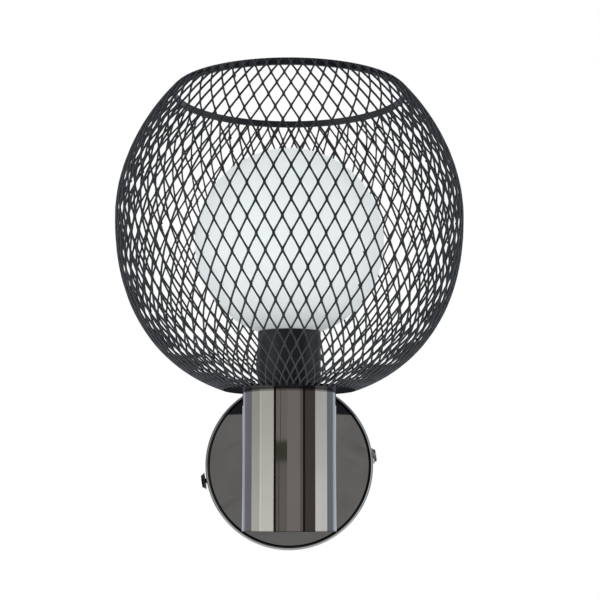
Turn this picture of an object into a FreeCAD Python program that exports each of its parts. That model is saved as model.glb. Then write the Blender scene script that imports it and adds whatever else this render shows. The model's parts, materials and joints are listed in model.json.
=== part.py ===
"""Wall light with a black mesh cage, a globe bulb and a black chrome column.

Millimetres, +Z up. The origin is the middle of the wall bracket, on the wall
plane. The wall is the plane Y = 0 and the light stands out from it towards -Y.
The column, the bulb and the cage share one upright axis, the lamp axis.
"""
import FreeCAD, Part
import math
import os

import Sketcher

# name, value, what it is
SIZES = (
    ("wall_to_axis", 130.0, "wall plane to lamp axis"),
    ("canopy_radius", 60.5, "canopy, outer radius"),
    ("canopy_depth", 25.0, "canopy, wall to front face"),
    ("canopy_wall", 1.0, "canopy, sheet"),
    ("canopy_round", 3.5, "canopy, outer radius of its front edge"),
    ("bracket_sheet", 2.0, "wall bracket, sheet"),
    ("bracket_width", 18.0, "wall bracket, width of strap and ears"),
    ("ear_depth", 18.0, "wall bracket, wall to tip of ear"),
    ("ear_gap", 0.6, "ear corner to inside of canopy"),
    ("wall_screw_spread", 84.0, "wall screw holes, centre to centre"),
    ("wall_screw_hole", 2.25, "wall screw holes, radius"),
    ("wall_slot_offset", 24.0, "adjusting slot, centre from bracket centre"),
    ("wall_slot_length", 14.0, "adjusting slot, end to end"),
    ("cable_hole", 6.0, "supply cable hole in the bracket, radius"),
    ("side_screw_tilt", 8.5, "line through both side screws, degrees off level"),
    ("side_screw_drop", 1.9, "line through both side screws, below the centre"),
    ("side_screw_depth", 12.0, "side screws, distance from the wall"),
    ("side_screw_radius", 2.0, "side screw, M4 thread radius"),
    ("side_screw_reach", 6.0, "side screw, thread inside the ear"),
    ("side_head_radius", 5.2, "side screw, knurled head radius"),
    ("side_head_length", 1.8, "side screw, knurled head length"),
    ("side_head_flutes", 20, "side screw, flutes round the head"),
    ("side_flute_radius", 0.45, "side screw, radius of one flute"),
    ("side_washer_radius", 5.8, "side washer, radius"),
    ("side_washer_thick", 0.8, "side washer, thickness"),
    ("left_screw_out", 1.0, "left side screw, how far it is backed out"),
    ("thread_fit", 0.05, "radial clearance of a moving thread"),
    ("hole_fit", 0.3, "radial clearance of a screw in a plain hole"),
    ("seat_gap", 0.3, "gap where a moving piece seats"),
    ("turning_gap", 0.1, "gap between faces that turn on each other"),
    ("block_offset", 12.0, "terminal block, centre of bracket to near side"),
    ("block_length", 24.0, "terminal block, length along the strap"),
    ("block_width", 16.0, "terminal block, width"),
    ("block_depth", 12.0, "terminal block, depth"),
    ("block_screw_radius", 1.6, "terminal screws, radius"),
    ("block_screw_length", 2.6, "terminal screws, length"),
    ("block_hole_depth", 3.0, "terminal screw wells, depth"),
    ("earth_offset", 12.0, "earth screw, from bracket centre"),
    ("earth_drop", 5.0, "earth screw, below the strap's middle line"),
    ("earth_head_radius", 3.5, "earth screw, head radius"),
    ("earth_head_length", 2.4, "earth screw, head length"),
    ("earth_washer_radius", 4.0, "earth washer, radius"),
    ("earth_washer_thick", 0.8, "earth washer, thickness"),
    ("tie_radius", 5.0, "threaded tie tube and nipple, M10 radius"),
    ("tie_bore", 3.5, "threaded tie tube and nipple, bore radius"),
    ("tie_inner_end", 16.0, "tie tube, wall to its near end"),
    ("tie_overrun", 0.8, "tie tube, length past the column nut"),
    ("nut_across", 17.0, "M10 nuts, across flats"),
    ("nut_length", 4.0, "M10 nuts, length"),
    ("washer_radius", 10.0, "M10 washers, radius"),
    ("washer_thick", 1.5, "M10 washers, thickness"),
    ("arm_radius", 12.5, "arm sleeve, outer radius"),
    ("arm_wall", 1.5, "arm sleeve, wall"),
    ("saddle_radius", 9.0, "saddle washer, radius"),
    ("saddle_edge", 2.0, "saddle washer, thickness at its edge"),
    ("column_radius", 30.5, "column, outer radius"),
    ("column_wall", 1.2, "column, wall"),
    ("column_bottom", -45.3, "column, height of its lower edge"),
    ("column_height", 90.7, "column, length"),
    ("bottom_plate_thick", 2.0, "column bottom plate, thickness"),
    ("bridge_drop", 25.4, "bridge plate, its underside below the column's upper edge"),
    ("bridge_thick", 3.0, "bridge plate, thickness"),
    ("lock_washer_radius", 8.0, "toothed lock washer, radius"),
    ("lock_washer_thick", 1.0, "toothed lock washer, thickness"),
    ("nipple_overrun", 2.5, "nipple, length past its nuts"),
    ("disc_radius", 43.2, "gallery disc, radius"),
    ("disc_thick", 1.5, "gallery disc, thickness"),
    ("cup_radius", 20.6, "holder cup, outer radius"),
    ("cup_wall", 1.0, "holder cup, sheet"),
    ("cup_height", 37.0, "holder cup, height"),
    ("cup_round", 1.5, "holder cup, radius of its lower edge"),
    ("lock_ring_gap", 0.4, "lock ring to inside of the cup"),
    ("lock_ring_height", 3.0, "lock ring, height"),
    ("holder_radius", 17.5, "lampholder, outer radius"),
    ("holder_wall", 2.3, "lampholder, wall"),
    ("holder_floor", 2.5, "lampholder, floor"),
    ("holder_height", 38.0, "lampholder, height"),
    ("insert_rise", 8.0, "contact carrier, underside above the lampholder's base"),
    ("insert_thick", 5.0, "contact carrier, thickness"),
    ("terminal_length", 5.0, "lampholder terminals, size along X"),
    ("terminal_width", 6.0, "lampholder terminals, size along Y"),
    ("terminal_height", 4.0, "lampholder terminals, height"),
    ("shell_wall", 0.5, "threaded shell, wall"),
    ("shell_length", 23.0, "threaded shell, length"),
    ("contact_length", 12.0, "centre contact, length"),
    ("contact_width", 5.0, "centre contact, width"),
    ("contact_thick", 0.9, "centre contact, height"),
    ("cap_radius", 13.1, "bulb cap E27, thread radius"),
    ("cap_sheet", 0.4, "bulb cap, sheet"),
    ("cap_fit", 0.08, "radial clearance of the cap in the threaded shell"),
    ("cap_length", 23.5, "bulb cap, length of the metal shell"),
    ("insulator_height", 3.3, "cap insulator, height of its cone"),
    ("insulator_nose", 5.0, "cap insulator, radius at its nose"),
    ("insulator_plug", 2.0, "cap insulator, length inside the cap"),
    ("tip_radius", 4.5, "tip contact, radius"),
    ("tip_height", 1.0, "tip contact, height"),
    ("globe_radius", 62.5, "bulb globe, outer radius"),
    ("globe_gap", 0.5, "bulb globe to the cup's rim"),
    ("globe_glass", 1.0, "bulb globe, glass"),
    ("neck_step", 0.5, "bulb neck, outside the cap at its root"),
    ("neck_gap", 1.0, "bulb neck to inside of the cup, at the cup's rim"),
    ("neck_overlap", 1.0, "bulb neck, height above the cup's rim"),
    ("cage_equator", 114.8, "cage, gallery disc to its widest ring"),
    ("cage_height", 199.3, "cage, gallery disc to the rim ring's upper edge"),
    ("cage_radius", 115.0, "cage, radius of its widest ring"),
    ("cage_mouth", 77.9, "cage, radius of the mesh's upper hoop"),
    ("cage_upper_power", 1.82, "cage, fullness of its upper curve"),
    ("cage_lower_power", 2.27, "cage, fullness of its lower curve"),
    ("cage_columns", 34, "mesh openings round the cage"),
    ("cage_rows", 12, "half openings from disc to rim"),
    ("strand_width", 1.8, "mesh strand, width"),
    ("strand_thick", 1.5, "mesh strand, thickness"),
    ("hoop_drop", 1.0, "mesh's upper hoop, below the rim ring's upper edge"),
    ("rim_height", 4.4, "rim ring, height of the band"),
    ("rim_band", 1.8, "rim ring, thickness of the band"),
    ("weld_depth", 0.25, "how deep a weld joins two pieces"),
    ("lead_radius", 1.1, "insulated leads, radius"),
    ("lead_spread", 1.3, "insulated leads, distance from the middle"),
    ("lead_bend", 5.0, "inner lead, radius of its bend into the tie tube"),
    ("lead_rise_bend", 12.0, "leads, radius of the bend up to the lampholder"),
    ("lead_grip", 0.9, "leads, length held inside a clamp"),
)

FAULTS = ("Invalid", "Error")
OUTLINE_STEPS = 2000
BORDER_MIDDLE = 0.4  # middle of a border opening, in rows from the border
BORDER_DRAW = 1.6  # strand widths that a border opening's corner is drawn in


class Size:
    """A length with its value now and the formula that the document keeps."""

    def __init__(self, value, formula):
        self.value = float(value)
        self.formula = formula

    def __add__(self, other):
        other = as_size(other)
        return Size(self.value + other.value, "(%s + %s)" % (self.formula, other.formula))

    def __sub__(self, other):
        other = as_size(other)
        return Size(self.value - other.value, "(%s - %s)" % (self.formula, other.formula))

    def __mul__(self, other):
        other = as_size(other)
        return Size(self.value * other.value, "(%s * %s)" % (self.formula, other.formula))

    def __truediv__(self, other):
        other = as_size(other)
        return Size(self.value / other.value, "(%s / %s)" % (self.formula, other.formula))

    def __neg__(self):
        return Size(-self.value, "(0 - %s)" % self.formula)

    def root(self):
        """The square root, as a length from an area."""
        return Size(math.sqrt(self.value), "sqrt(%s)" % self.formula)

    def turned_by(self, turn):
        """Return this length's shares along and across a line turned by some degrees."""
        angle = math.radians(turn.value)
        along = Size(math.cos(angle), "cos(%s * 1 deg)" % turn.formula)
        across = Size(math.sin(angle), "sin(%s * 1 deg)" % turn.formula)
        return self * along, self * across


class Sizes:
    """The driving sizes, each under its name in the document's sheet."""

    def read(self, sheet):
        """Take every size from the sheet."""
        for name, _value, _note in SIZES:
            setattr(self, name, Size(sheet.get(name), "Sizes.%s" % name))


S = Sizes()


def as_size(number):
    """Wrap a plain number, and leave a size as it is."""
    if isinstance(number, Size):
        return number
    return Size(number, "%g" % number)


def write_sheet(doc):
    """Put every driving size in the document's sheet, under its own alias."""
    sheet = doc.addObject("Spreadsheet::Sheet", "Sizes")
    for row, (name, value, note) in enumerate(SIZES, start=1):
        sheet.set("A%d" % row, note)
        sheet.set("B%d" % row, "%g" % value)
        sheet.setAlias("B%d" % row, name)
    doc.recompute()
    return sheet


def bind(thing, prop, size):
    """Set one property of a document object from a size."""
    thing.setExpression(prop, as_size(size).formula)


def move(thing, x=0, y=0, z=0):
    """Place a document object at a point."""
    for axis, size in (("x", x), ("y", y), ("z", z)):
        if isinstance(size, Size) or size:
            bind(thing, "Placement.Base.%s" % axis, size)


def from_wall(thing, out=0):
    """Point an object's own +Z from the wall into the room, and set it off the wall."""
    thing.Placement.Rotation = FreeCAD.Rotation(FreeCAD.Vector(1, 0, 0), 90)
    move(thing, y=-as_size(out))


def on_lamp_axis(thing, z=0):
    """Place an object on the lamp axis at a height."""
    move(thing, y=-S.wall_to_axis, z=z)


def outline_sketch(body, points):
    """Draw a closed outline of (radius, height) points on the body's XZ plane."""
    sketch = body.newObject("Sketcher::SketchObject", body.Name + "Outline")
    plane = [item for item in body.Origin.OriginFeatures if item.Role == "XZ_Plane"][0]
    sketch.AttachmentSupport = [(plane, "")]
    sketch.MapMode = "FlatFace"
    spots = [(as_size(radius), as_size(height)) for radius, height in points]
    corners = [FreeCAD.Vector(radius.value, height.value, 0) for radius, height in spots]
    for start, end in zip(corners, corners[1:] + corners[:1]):
        sketch.addGeometry(Part.LineSegment(start, end), False)
    for index in range(len(corners)):
        before = (index - 1) % len(corners)
        sketch.addConstraint(Sketcher.Constraint("Coincident", before, 2, index, 1))
    for index, (radius, height) in enumerate(spots):
        pin_corner(sketch, index, "DistanceX", radius, -2)
        pin_corner(sketch, index, "DistanceY", height, -1)
    return sketch


def pin_corner(sketch, index, kind, size, axis):
    """Tie one corner of an outline to the sketch's origin or to its axis."""
    if size.formula == "0":
        sketch.addConstraint(Sketcher.Constraint("PointOnObject", index, 1, axis))
        return
    number = sketch.addConstraint(Sketcher.Constraint(kind, -1, 1, index, 1, size.value))
    sketch.setExpression("Constraints[%d]" % number, size.formula)


def turned(doc, label, points):
    """Make a turned piece from its outline, about its own Z axis."""
    body = doc.addObject("PartDesign::Body", label)
    body.Label = label
    sketch = outline_sketch(body, points)
    turn = body.newObject("PartDesign::Revolution", label + "Turn")
    turn.Profile = sketch
    turn.ReferenceAxis = (sketch, ["V_Axis"])
    turn.Angle = 360
    body.Tip = turn
    doc.recompute()
    return body


def ring_points(outer, inner, low, high):
    """Outline of a plain ring or, with no inner radius, of a plain disc."""
    return ((inner, low), (outer, low), (outer, high), (inner, high))


def round_edges(doc, body, radius, chosen):
    """Fillet the circular edges of a body that a test of (radius, height) picks."""
    base = body.Tip
    names = []
    for number, edge in enumerate(base.Shape.Edges, start=1):
        if isinstance(edge.Curve, Part.Circle):
            if chosen(edge.Curve.Radius, edge.Curve.Center.z):
                names.append("Edge%d" % number)
    fillet = body.newObject("PartDesign::Fillet", body.Name + "Round" + base.Name)
    fillet.Base = (base, names)
    bind(fillet, "Radius", radius)
    body.Tip = fillet
    doc.recompute()


def at_edge(radius, height):
    """A test that picks the round edge of a given radius at a given height."""
    def chosen(edge_radius, edge_height):
        return near(edge_radius, radius.value) and near(edge_height, height.value)
    return chosen


def near(one, other):
    """True if two lengths are the same."""
    return abs(one - other) < 0.01


def cylinder(doc, name, radius, height, z=0):
    """A plain cylinder about Z, as raw stock or as a cutter."""
    item = doc.addObject("Part::Cylinder", name)
    bind(item, "Radius", radius)
    bind(item, "Height", height)
    move(item, z=z)
    return item


def box(doc, name, corner, spans):
    """A plain box from its low corner, as raw stock or as a cutter."""
    item = doc.addObject("Part::Box", name)
    for prop, span in zip(("Length", "Width", "Height"), spans):
        bind(item, prop, span)
    move(item, *corner)
    return item


def cut(doc, label, base, tools):
    """Cut one or more tools out of a base, as one labelled piece."""
    tool = tools[0]
    if len(tools) > 1:
        tool = doc.addObject("Part::MultiFuse", label + "Tools")
        tool.Shapes = tools
    piece = doc.addObject("Part::Cut", label)
    piece.Label = label
    piece.Base = base
    piece.Tool = tool
    return piece


def hex_nut(doc, label):
    """An M10 nut that stands on its own XY plane."""
    stock = doc.addObject("Part::Prism", label + "Stock")
    stock.Polygon = 6
    bind(stock, "Circumradius", S.nut_across / (2 * math.cos(math.radians(30))))
    bind(stock, "Height", S.nut_length)
    return cut(doc, label, stock, [cylinder(doc, label + "Bore", S.tie_radius, S.nut_length)])


# ---- the strap's frame: X along the line of the side screws, Z into the room ----

def strap_axes():
    """The strap's own X, Y and Z directions."""
    turn = math.radians(S.side_screw_tilt.value)
    along = FreeCAD.Vector(math.cos(turn), 0, math.sin(turn))
    across = FreeCAD.Vector(-math.sin(turn), 0, math.cos(turn))
    return along, across, FreeCAD.Vector(0, -1, 0)


def on_strap(thing, along=0, across=0, out=0):
    """Place an object in the strap's frame."""
    thing.Placement.Rotation = FreeCAD.Rotation(*strap_axes(), "XYZ")
    move_on_strap(thing, along, across, out)


def move_on_strap(thing, along, across, out):
    """Move an object to a point of the strap's frame."""
    along_x, along_z = as_size(along).turned_by(S.side_screw_tilt)
    across_z, across_x = as_size(across).turned_by(S.side_screw_tilt)
    move(thing, x=along_x - across_x, y=-as_size(out), z=along_z + across_z)


def wall_bracket(doc):
    """A flat strap with an ear bent into the room at each end."""
    ear_face = ear_outer_face()
    length = ear_face * 2
    width = S.bracket_width
    sheet = S.bracket_sheet
    low = -(width / 2)
    pieces = [box(doc, "Strap", (-ear_face, low, 0), (length, width, sheet))]
    pieces.append(box(doc, "LeftEar", (-ear_face, low, 0), (sheet, width, S.ear_depth)))
    pieces.append(box(doc, "RightEar", (ear_face - sheet, low, 0), (sheet, width, S.ear_depth)))
    stock = doc.addObject("Part::MultiFuse", "BracketStock")
    stock.Shapes = pieces
    holes = [cylinder(doc, "CableHole", S.cable_hole, sheet)]
    for name, side in (("Left", -1), ("Right", 1)):
        hole = cylinder(doc, name + "WallHole", S.wall_screw_hole, sheet)
        move(hole, x=S.wall_screw_spread * side / 2)
        holes.append(hole)
    holes.append(slot_cutter(doc, -S.wall_slot_offset, sheet))
    earth = cylinder(doc, "EarthHole", S.side_screw_radius, sheet)
    move(earth, x=-S.earth_offset, y=-S.earth_drop)
    holes.append(earth)
    thread = cylinder(doc, "EarThreads", S.side_screw_radius + S.thread_fit, length)
    thread.Placement.Rotation = FreeCAD.Rotation(FreeCAD.Vector(0, 1, 0), 90)
    move(thread, x=-ear_face, y=-S.side_screw_drop, z=S.side_screw_depth)
    holes.append(thread)
    bracket = cut(doc, "wall_bracket", stock, holes)
    on_strap(bracket)
    return bracket


def ear_outer_face():
    """Distance from the middle to the outer face of an ear, clear of the canopy."""
    inside = S.canopy_radius - S.canopy_wall - S.ear_gap
    half = S.bracket_width / 2
    reach = math.sqrt(inside.value ** 2 - half.value ** 2)
    return Size(reach, "sqrt(%s ^ 2 - %s ^ 2)" % (inside.formula, half.formula))


def slot_cutter(doc, middle, depth):
    """A slot along X with round ends."""
    flat = S.wall_slot_length - S.wall_screw_hole * 2
    corner = (middle - flat / 2, -S.wall_screw_hole, 0)
    parts = [box(doc, "SlotFlat", corner, (flat, S.wall_screw_hole * 2, depth))]
    for name, side in (("SlotLeft", -1), ("SlotRight", 1)):
        end = cylinder(doc, name, S.wall_screw_hole, depth)
        move(end, x=middle + flat * side / 2)
        parts.append(end)
    slot = doc.addObject("Part::MultiFuse", "Slot")
    slot.Shapes = parts
    return slot


def terminal_block(doc):
    """The block that joins the supply cable to the leads, on the strap."""
    corner = (S.block_offset, -(S.block_width / 2), S.bracket_sheet)
    spans = (S.block_length, S.block_width, S.block_depth)
    stock = box(doc, "BlockStock", corner, spans)
    wells = []
    for name, x, y in block_screw_spots():
        floor = S.bracket_sheet + S.block_depth - S.block_hole_depth
        well = cylinder(doc, "Well" + name, S.block_screw_radius, S.block_hole_depth, floor)
        move(well, x=x, y=y)
        wells.append(well)
    block = cut(doc, "terminal_block", stock, wells)
    on_strap(block)
    return block


def block_screw_spots():
    """Name and place of each terminal screw: two rows of three."""
    spots = []
    for column in range(3):
        for row in range(2):
            x = S.block_offset + S.block_length * (2 * column + 1) / 6
            y = S.block_width * (2 * row - 1) / 4
            spots.append(("%d%d" % (column, row), x, y))
    return spots


def terminal_screws(doc):
    """The terminal block's screws."""
    floor = S.bracket_sheet + S.block_depth - S.block_hole_depth
    screws = []
    for name, x, y in block_screw_spots():
        screw = cylinder(doc, "BlockScrew" + name, S.block_screw_radius, S.block_screw_length, floor)
        move(screw, x=x, y=y)
        screws.append(screw)
    group = doc.addObject("Part::Compound", "terminal_screws")
    group.Label = "terminal_screws"
    group.Links = screws
    on_strap(group)
    return group


def earth_screw(doc):
    """The earth screw, its thread in the strap."""
    top = S.bracket_sheet + S.earth_washer_thick
    points = (
        (0, 0),
        (S.side_screw_radius, 0),
        (S.side_screw_radius, top),
        (S.earth_head_radius, top),
        (S.earth_head_radius, top + S.earth_head_length),
        (0, top + S.earth_head_length),
    )
    screw = turned(doc, "earth_screw", points)
    on_strap(screw, along=-S.earth_offset, across=-S.earth_drop)
    return screw


def earth_washer(doc):
    """The washer under the earth screw's head."""
    low = S.bracket_sheet
    high = low + S.earth_washer_thick
    washer = turned(doc, "earth_washer",
                    ring_points(S.earth_washer_radius, S.side_screw_radius, low, high))
    on_strap(washer, along=-S.earth_offset, across=-S.earth_drop)
    return washer


def side_fixings(doc):
    """Both thumb screws that hold the canopy to the bracket, with their washers."""
    pieces = []
    for side, sign, out in (("left", -1, S.left_screw_out), ("right", 1, Size(0, "0"))):
        for piece in (side_washer(doc, side), side_screw(doc, side)):
            line = strap_axes()[0] * sign
            piece.Placement.Rotation = FreeCAD.Rotation(FreeCAD.Vector(0, 0, 1), line)
            seat = S.canopy_radius + S.seat_gap + out
            move_on_strap(piece, seat * sign, -S.side_screw_drop, S.side_screw_depth)
            pieces.append(piece)
    return pieces


def side_washer(doc, side):
    """The black washer under one thumb screw; its own Z points away from the canopy."""
    inner = S.side_screw_radius + S.hole_fit
    return turned(doc, "side_washer_" + side,
                  ring_points(S.side_washer_radius, inner, 0, S.side_washer_thick))


def side_screw(doc, side):
    """One thumb screw; its own Z points away from the canopy."""
    name = "Side" + side.capitalize()
    low = S.side_washer_thick + S.turning_gap
    stock = cylinder(doc, name + "Head", S.side_head_radius, S.side_head_length, low)
    flutes = []
    for number in range(int(S.side_head_flutes.value)):
        turn = 2 * math.pi * number / S.side_head_flutes.value
        flute = cylinder(doc, "%sFlute%d" % (name, number), S.side_flute_radius,
                         S.side_head_length, low)
        move(flute, S.side_head_radius * math.cos(turn), S.side_head_radius * math.sin(turn), low)
        flutes.append(flute)
    head = cut(doc, name + "Knurled", stock, flutes)
    seat = S.canopy_radius + S.seat_gap
    tip = seat - ear_outer_face() + S.bracket_sheet + S.side_screw_reach
    thread = cylinder(doc, name + "Thread", S.side_screw_radius, tip + low, -tip)
    screw = doc.addObject("Part::MultiFuse", "side_screw_" + side)
    screw.Label = "side_screw_" + side
    screw.Shapes = [head, thread]
    return screw


# ---- canopy and arm: their own Z points from the wall into the room ----

def canopy(doc):
    """The round cup that covers the bracket, open towards the wall."""
    outer = S.canopy_radius
    inner = outer - S.canopy_wall
    front = S.canopy_depth
    face = front - S.canopy_wall
    hole = S.tie_radius + S.hole_fit
    points = ((inner, 0), (outer, 0), (outer, front), (hole, front), (hole, face), (inner, face))
    cup = turned(doc, "CanopyCup", points)
    round_edges(doc, cup, S.canopy_round, at_edge(outer, front))
    round_edges(doc, cup, S.canopy_round - S.canopy_wall, at_edge(inner, face))
    holes = cylinder(doc, "CanopySideHoles", S.side_screw_radius + S.hole_fit, outer * 2)
    holes.Placement.Rotation = FreeCAD.Rotation(FreeCAD.Vector(0, 1, 0), 90)
    move(holes, -outer, -S.side_screw_drop, S.side_screw_depth)
    piece = cut(doc, "canopy", cup, [holes])
    on_strap(piece)
    return piece


def canopy_washer(doc):
    """The washer behind the canopy's front."""
    ring = ring_points(S.washer_radius, S.tie_radius, 0, S.washer_thick)
    washer = turned(doc, "canopy_washer", ring)
    from_wall(washer, S.canopy_depth - S.canopy_wall - S.washer_thick)
    return washer


def canopy_nut(doc):
    """The nut on the wall side of the canopy's front."""
    nut = hex_nut(doc, "canopy_nut")
    seat = S.canopy_depth - S.canopy_wall - S.washer_thick
    from_wall(nut, seat - S.nut_length)
    return nut


def column_face():
    """Distance from the wall to the column, in line with the arm."""
    return S.wall_to_axis - S.column_radius


def saddle_flat():
    """Distance from the wall to the flat side of the saddle washer."""
    inside = S.column_radius - S.column_wall
    half = S.saddle_radius
    rise = math.sqrt(inside.value ** 2 - half.value ** 2)
    chord = Size(rise, "sqrt(%s ^ 2 - %s ^ 2)" % (inside.formula, half.formula))
    return S.wall_to_axis - chord + S.saddle_edge


def column_core(doc, name, radius):
    """An upright cutter on the lamp axis, as tall as the column."""
    core = cylinder(doc, name, radius, S.column_height)
    on_lamp_axis(core, S.column_bottom)
    return core


def arm_sleeve(doc):
    """The sleeve between canopy and column, hollowed to fit the column's side."""
    outer = cylinder(doc, "ArmOuter", S.arm_radius, S.wall_to_axis - S.canopy_depth)
    from_wall(outer, S.canopy_depth)
    bore = cylinder(doc, "ArmBore", S.arm_radius - S.arm_wall, S.wall_to_axis - S.canopy_depth)
    from_wall(bore, S.canopy_depth)
    return cut(doc, "arm_sleeve", outer, [bore, column_core(doc, "ArmEnd", S.column_radius)])


def tie_tube(doc):
    """The threaded tube that pulls the column and the sleeve against the canopy."""
    far = saddle_flat() + S.nut_length + S.tie_overrun
    ring = ring_points(S.tie_radius, S.tie_bore, 0, far - S.tie_inner_end)
    tube = turned(doc, "tie_tube", ring)
    from_wall(tube, S.tie_inner_end)
    return tube


def saddle_washer(doc):
    """The washer inside the column, curved on the side that meets the column."""
    length = saddle_flat() - column_face()
    stock = cylinder(doc, "SaddleStock", S.saddle_radius, length)
    from_wall(stock, column_face())
    bore = cylinder(doc, "SaddleBore", S.tie_radius, length)
    from_wall(bore, column_face())
    trimmed = cut(doc, "SaddleRing", stock, [bore])
    piece = doc.addObject("Part::Common", "saddle_washer")
    piece.Label = "saddle_washer"
    piece.Base = trimmed
    piece.Tool = column_core(doc, "SaddleInside", S.column_radius - S.column_wall)
    return piece


def column_nut(doc):
    """The nut inside the column."""
    nut = hex_nut(doc, "column_nut")
    from_wall(nut, saddle_flat())
    return nut


# ---- column and what stands on it: on the lamp axis ----

def column_tube(doc):
    """The column, with a hole at the back for the tie tube."""
    stock = column_core(doc, "ColumnOuter", S.column_radius)
    bore = column_core(doc, "ColumnBore", S.column_radius - S.column_wall)
    hole = cylinder(doc, "ColumnHole", S.tie_radius + S.hole_fit, S.wall_to_axis)
    from_wall(hole)
    return cut(doc, "column_tube", stock, [bore, hole])


def bottom_plate(doc):
    """The plate that closes the column's lower end."""
    inside = S.column_radius - S.column_wall
    plate = turned(doc, "column_bottom_plate", ring_points(inside, 0, 0, S.bottom_plate_thick))
    on_lamp_axis(plate, S.column_bottom)
    return plate


def bridge_plate(doc):
    """The plate across the column that carries the lampholder's nipple."""
    inside = S.column_radius - S.column_wall
    plate = turned(doc, "bridge_plate", ring_points(inside, S.tie_radius, 0, S.bridge_thick))
    on_lamp_axis(plate, bridge_base())
    return plate


def bridge_base():
    """Height of the bridge plate's underside."""
    return column_top() - S.bridge_drop


def bridge_top():
    """Height of the bridge plate's upper face."""
    return bridge_base() + S.bridge_thick


def holder_base():
    """Height of the lampholder's underside, on its nut and lock washer."""
    return bridge_top() + S.lock_washer_thick + S.nut_length


def lower_nut(doc):
    """The nut under the bridge plate."""
    nut = hex_nut(doc, "bridge_nut")
    on_lamp_axis(nut, bridge_base() - S.nut_length)
    return nut


def lock_washer(doc):
    """The lock washer on the bridge plate."""
    ring = ring_points(S.lock_washer_radius, S.tie_radius, 0, S.lock_washer_thick)
    washer = turned(doc, "bridge_lock_washer", ring)
    on_lamp_axis(washer, bridge_top())
    return washer


def upper_nut(doc):
    """The nut that the lampholder stands on."""
    nut = hex_nut(doc, "holder_nut")
    on_lamp_axis(nut, bridge_top() + S.lock_washer_thick)
    return nut


def holder_nipple(doc):
    """The threaded nipple that joins the lampholder to the bridge plate."""
    low = bridge_base() - S.nut_length - S.nipple_overrun
    high = holder_base() + S.holder_floor
    nipple = turned(doc, "holder_nipple", ring_points(S.tie_radius, S.tie_bore, 0, high - low))
    on_lamp_axis(nipple, low)
    return nipple


def column_top():
    """Height of the column's upper edge, which carries the gallery disc."""
    return S.column_bottom + S.column_height


def disc_top():
    """Height of the gallery disc's upper face, which carries cup and cage."""
    return column_top() + S.disc_thick


def gallery_disc(doc):
    """The disc on top of the column, the cage's foot."""
    hole = S.holder_radius + S.hole_fit
    disc = turned(doc, "gallery_disc", ring_points(S.disc_radius, hole, 0, S.disc_thick))
    on_lamp_axis(disc, column_top())
    return disc


def cup_inside():
    """Radius of the inside of the holder cup."""
    return S.cup_radius - S.cup_wall


def cup_top():
    """Height of the holder cup's rim."""
    return disc_top() + S.cup_height


def holder_cup(doc):
    """The black cup round the lampholder, open at the top."""
    outer = S.cup_radius
    inner = cup_inside()
    hole = S.holder_radius + S.hole_fit
    floor = S.cup_wall
    points = ((hole, 0), (outer, 0), (outer, S.cup_height), (inner, S.cup_height),
              (inner, floor), (hole, floor))
    cup = turned(doc, "holder_cup", points)
    round_edges(doc, cup, S.cup_round, at_edge(outer, as_size(0)))
    on_lamp_axis(cup, disc_top())
    return cup


def holder_ring(doc):
    """The ring that clamps cup and disc; it screws onto the lampholder's skirt."""
    outer = cup_inside() - S.lock_ring_gap
    ring = turned(doc, "holder_ring",
                  ring_points(outer, S.holder_radius, 0, S.lock_ring_height))
    on_lamp_axis(ring, disc_top() + S.cup_wall)
    return ring


def lampholder_body(doc):
    """The lampholder's body, a deep cup with a threaded floor."""
    outer = S.holder_radius
    inner = outer - S.holder_wall
    points = ((S.tie_radius, 0), (outer, 0), (outer, S.holder_height),
              (inner, S.holder_height), (inner, S.holder_floor), (S.tie_radius, S.holder_floor))
    body = turned(doc, "lampholder_body", points)
    on_lamp_axis(body, holder_base())
    return body


def insert_base():
    """Height of the contact carrier's underside."""
    return holder_base() + S.insert_rise


def insert_top():
    """Height of the contact carrier's upper face."""
    return insert_base() + S.insert_thick


def contact_carrier(doc):
    """The insulating disc inside the lampholder that carries its contacts."""
    inner = S.holder_radius - S.holder_wall
    carrier = turned(doc, "contact_carrier", ring_points(inner, 0, 0, S.insert_thick))
    on_lamp_axis(carrier, insert_base())
    return carrier


def lampholder_terminals(doc):
    """The two brass clamps under the contact carrier, one over each lead."""
    clamps = []
    low = insert_base() - S.terminal_height
    for name, side in (("Neutral", -1), ("Live", 1)):
        near_side = S.lead_spread - S.lead_radius
        start = near_side if side > 0 else -(near_side + S.terminal_length)
        corner = (start, -S.wall_to_axis - S.terminal_width / 2, low)
        spans = (S.terminal_length, S.terminal_width, S.terminal_height)
        clamps.append(box(doc, name + "Clamp", corner, spans))
    group = doc.addObject("Part::Compound", "lampholder_terminals")
    group.Label = "lampholder_terminals"
    group.Links = clamps
    return group


def threaded_shell(doc):
    """The brass shell that the bulb's cap screws into."""
    bore = S.cap_radius + S.cap_fit
    shell = turned(doc, "threaded_shell",
                   ring_points(bore + S.shell_wall, bore, 0, S.shell_length))
    on_lamp_axis(shell, insert_top())
    return shell


def centre_contact(doc):
    """The strip under the bulb's tip."""
    corner = (-(S.contact_length / 2), -S.wall_to_axis - S.contact_width / 2, insert_top())
    strip = box(doc, "centre_contact", corner, (S.contact_length, S.contact_width, S.contact_thick))
    strip.Label = "centre_contact"
    return strip


# ---- bulb ----

def tip_base():
    """Height of the bulb's tip, just above the centre contact."""
    return insert_top() + S.contact_thick + S.seat_gap


def cap_base():
    """Height of the metal cap's lower edge."""
    return tip_base() + S.tip_height + S.turning_gap + S.insulator_height


def cap_top():
    """Height of the metal cap's upper edge."""
    return cap_base() + S.cap_length


def tip_contact(doc):
    """The contact at the bottom of the bulb."""
    tip = turned(doc, "tip_contact", ring_points(S.tip_radius, 0, 0, S.tip_height))
    on_lamp_axis(tip, tip_base())
    return tip


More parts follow.
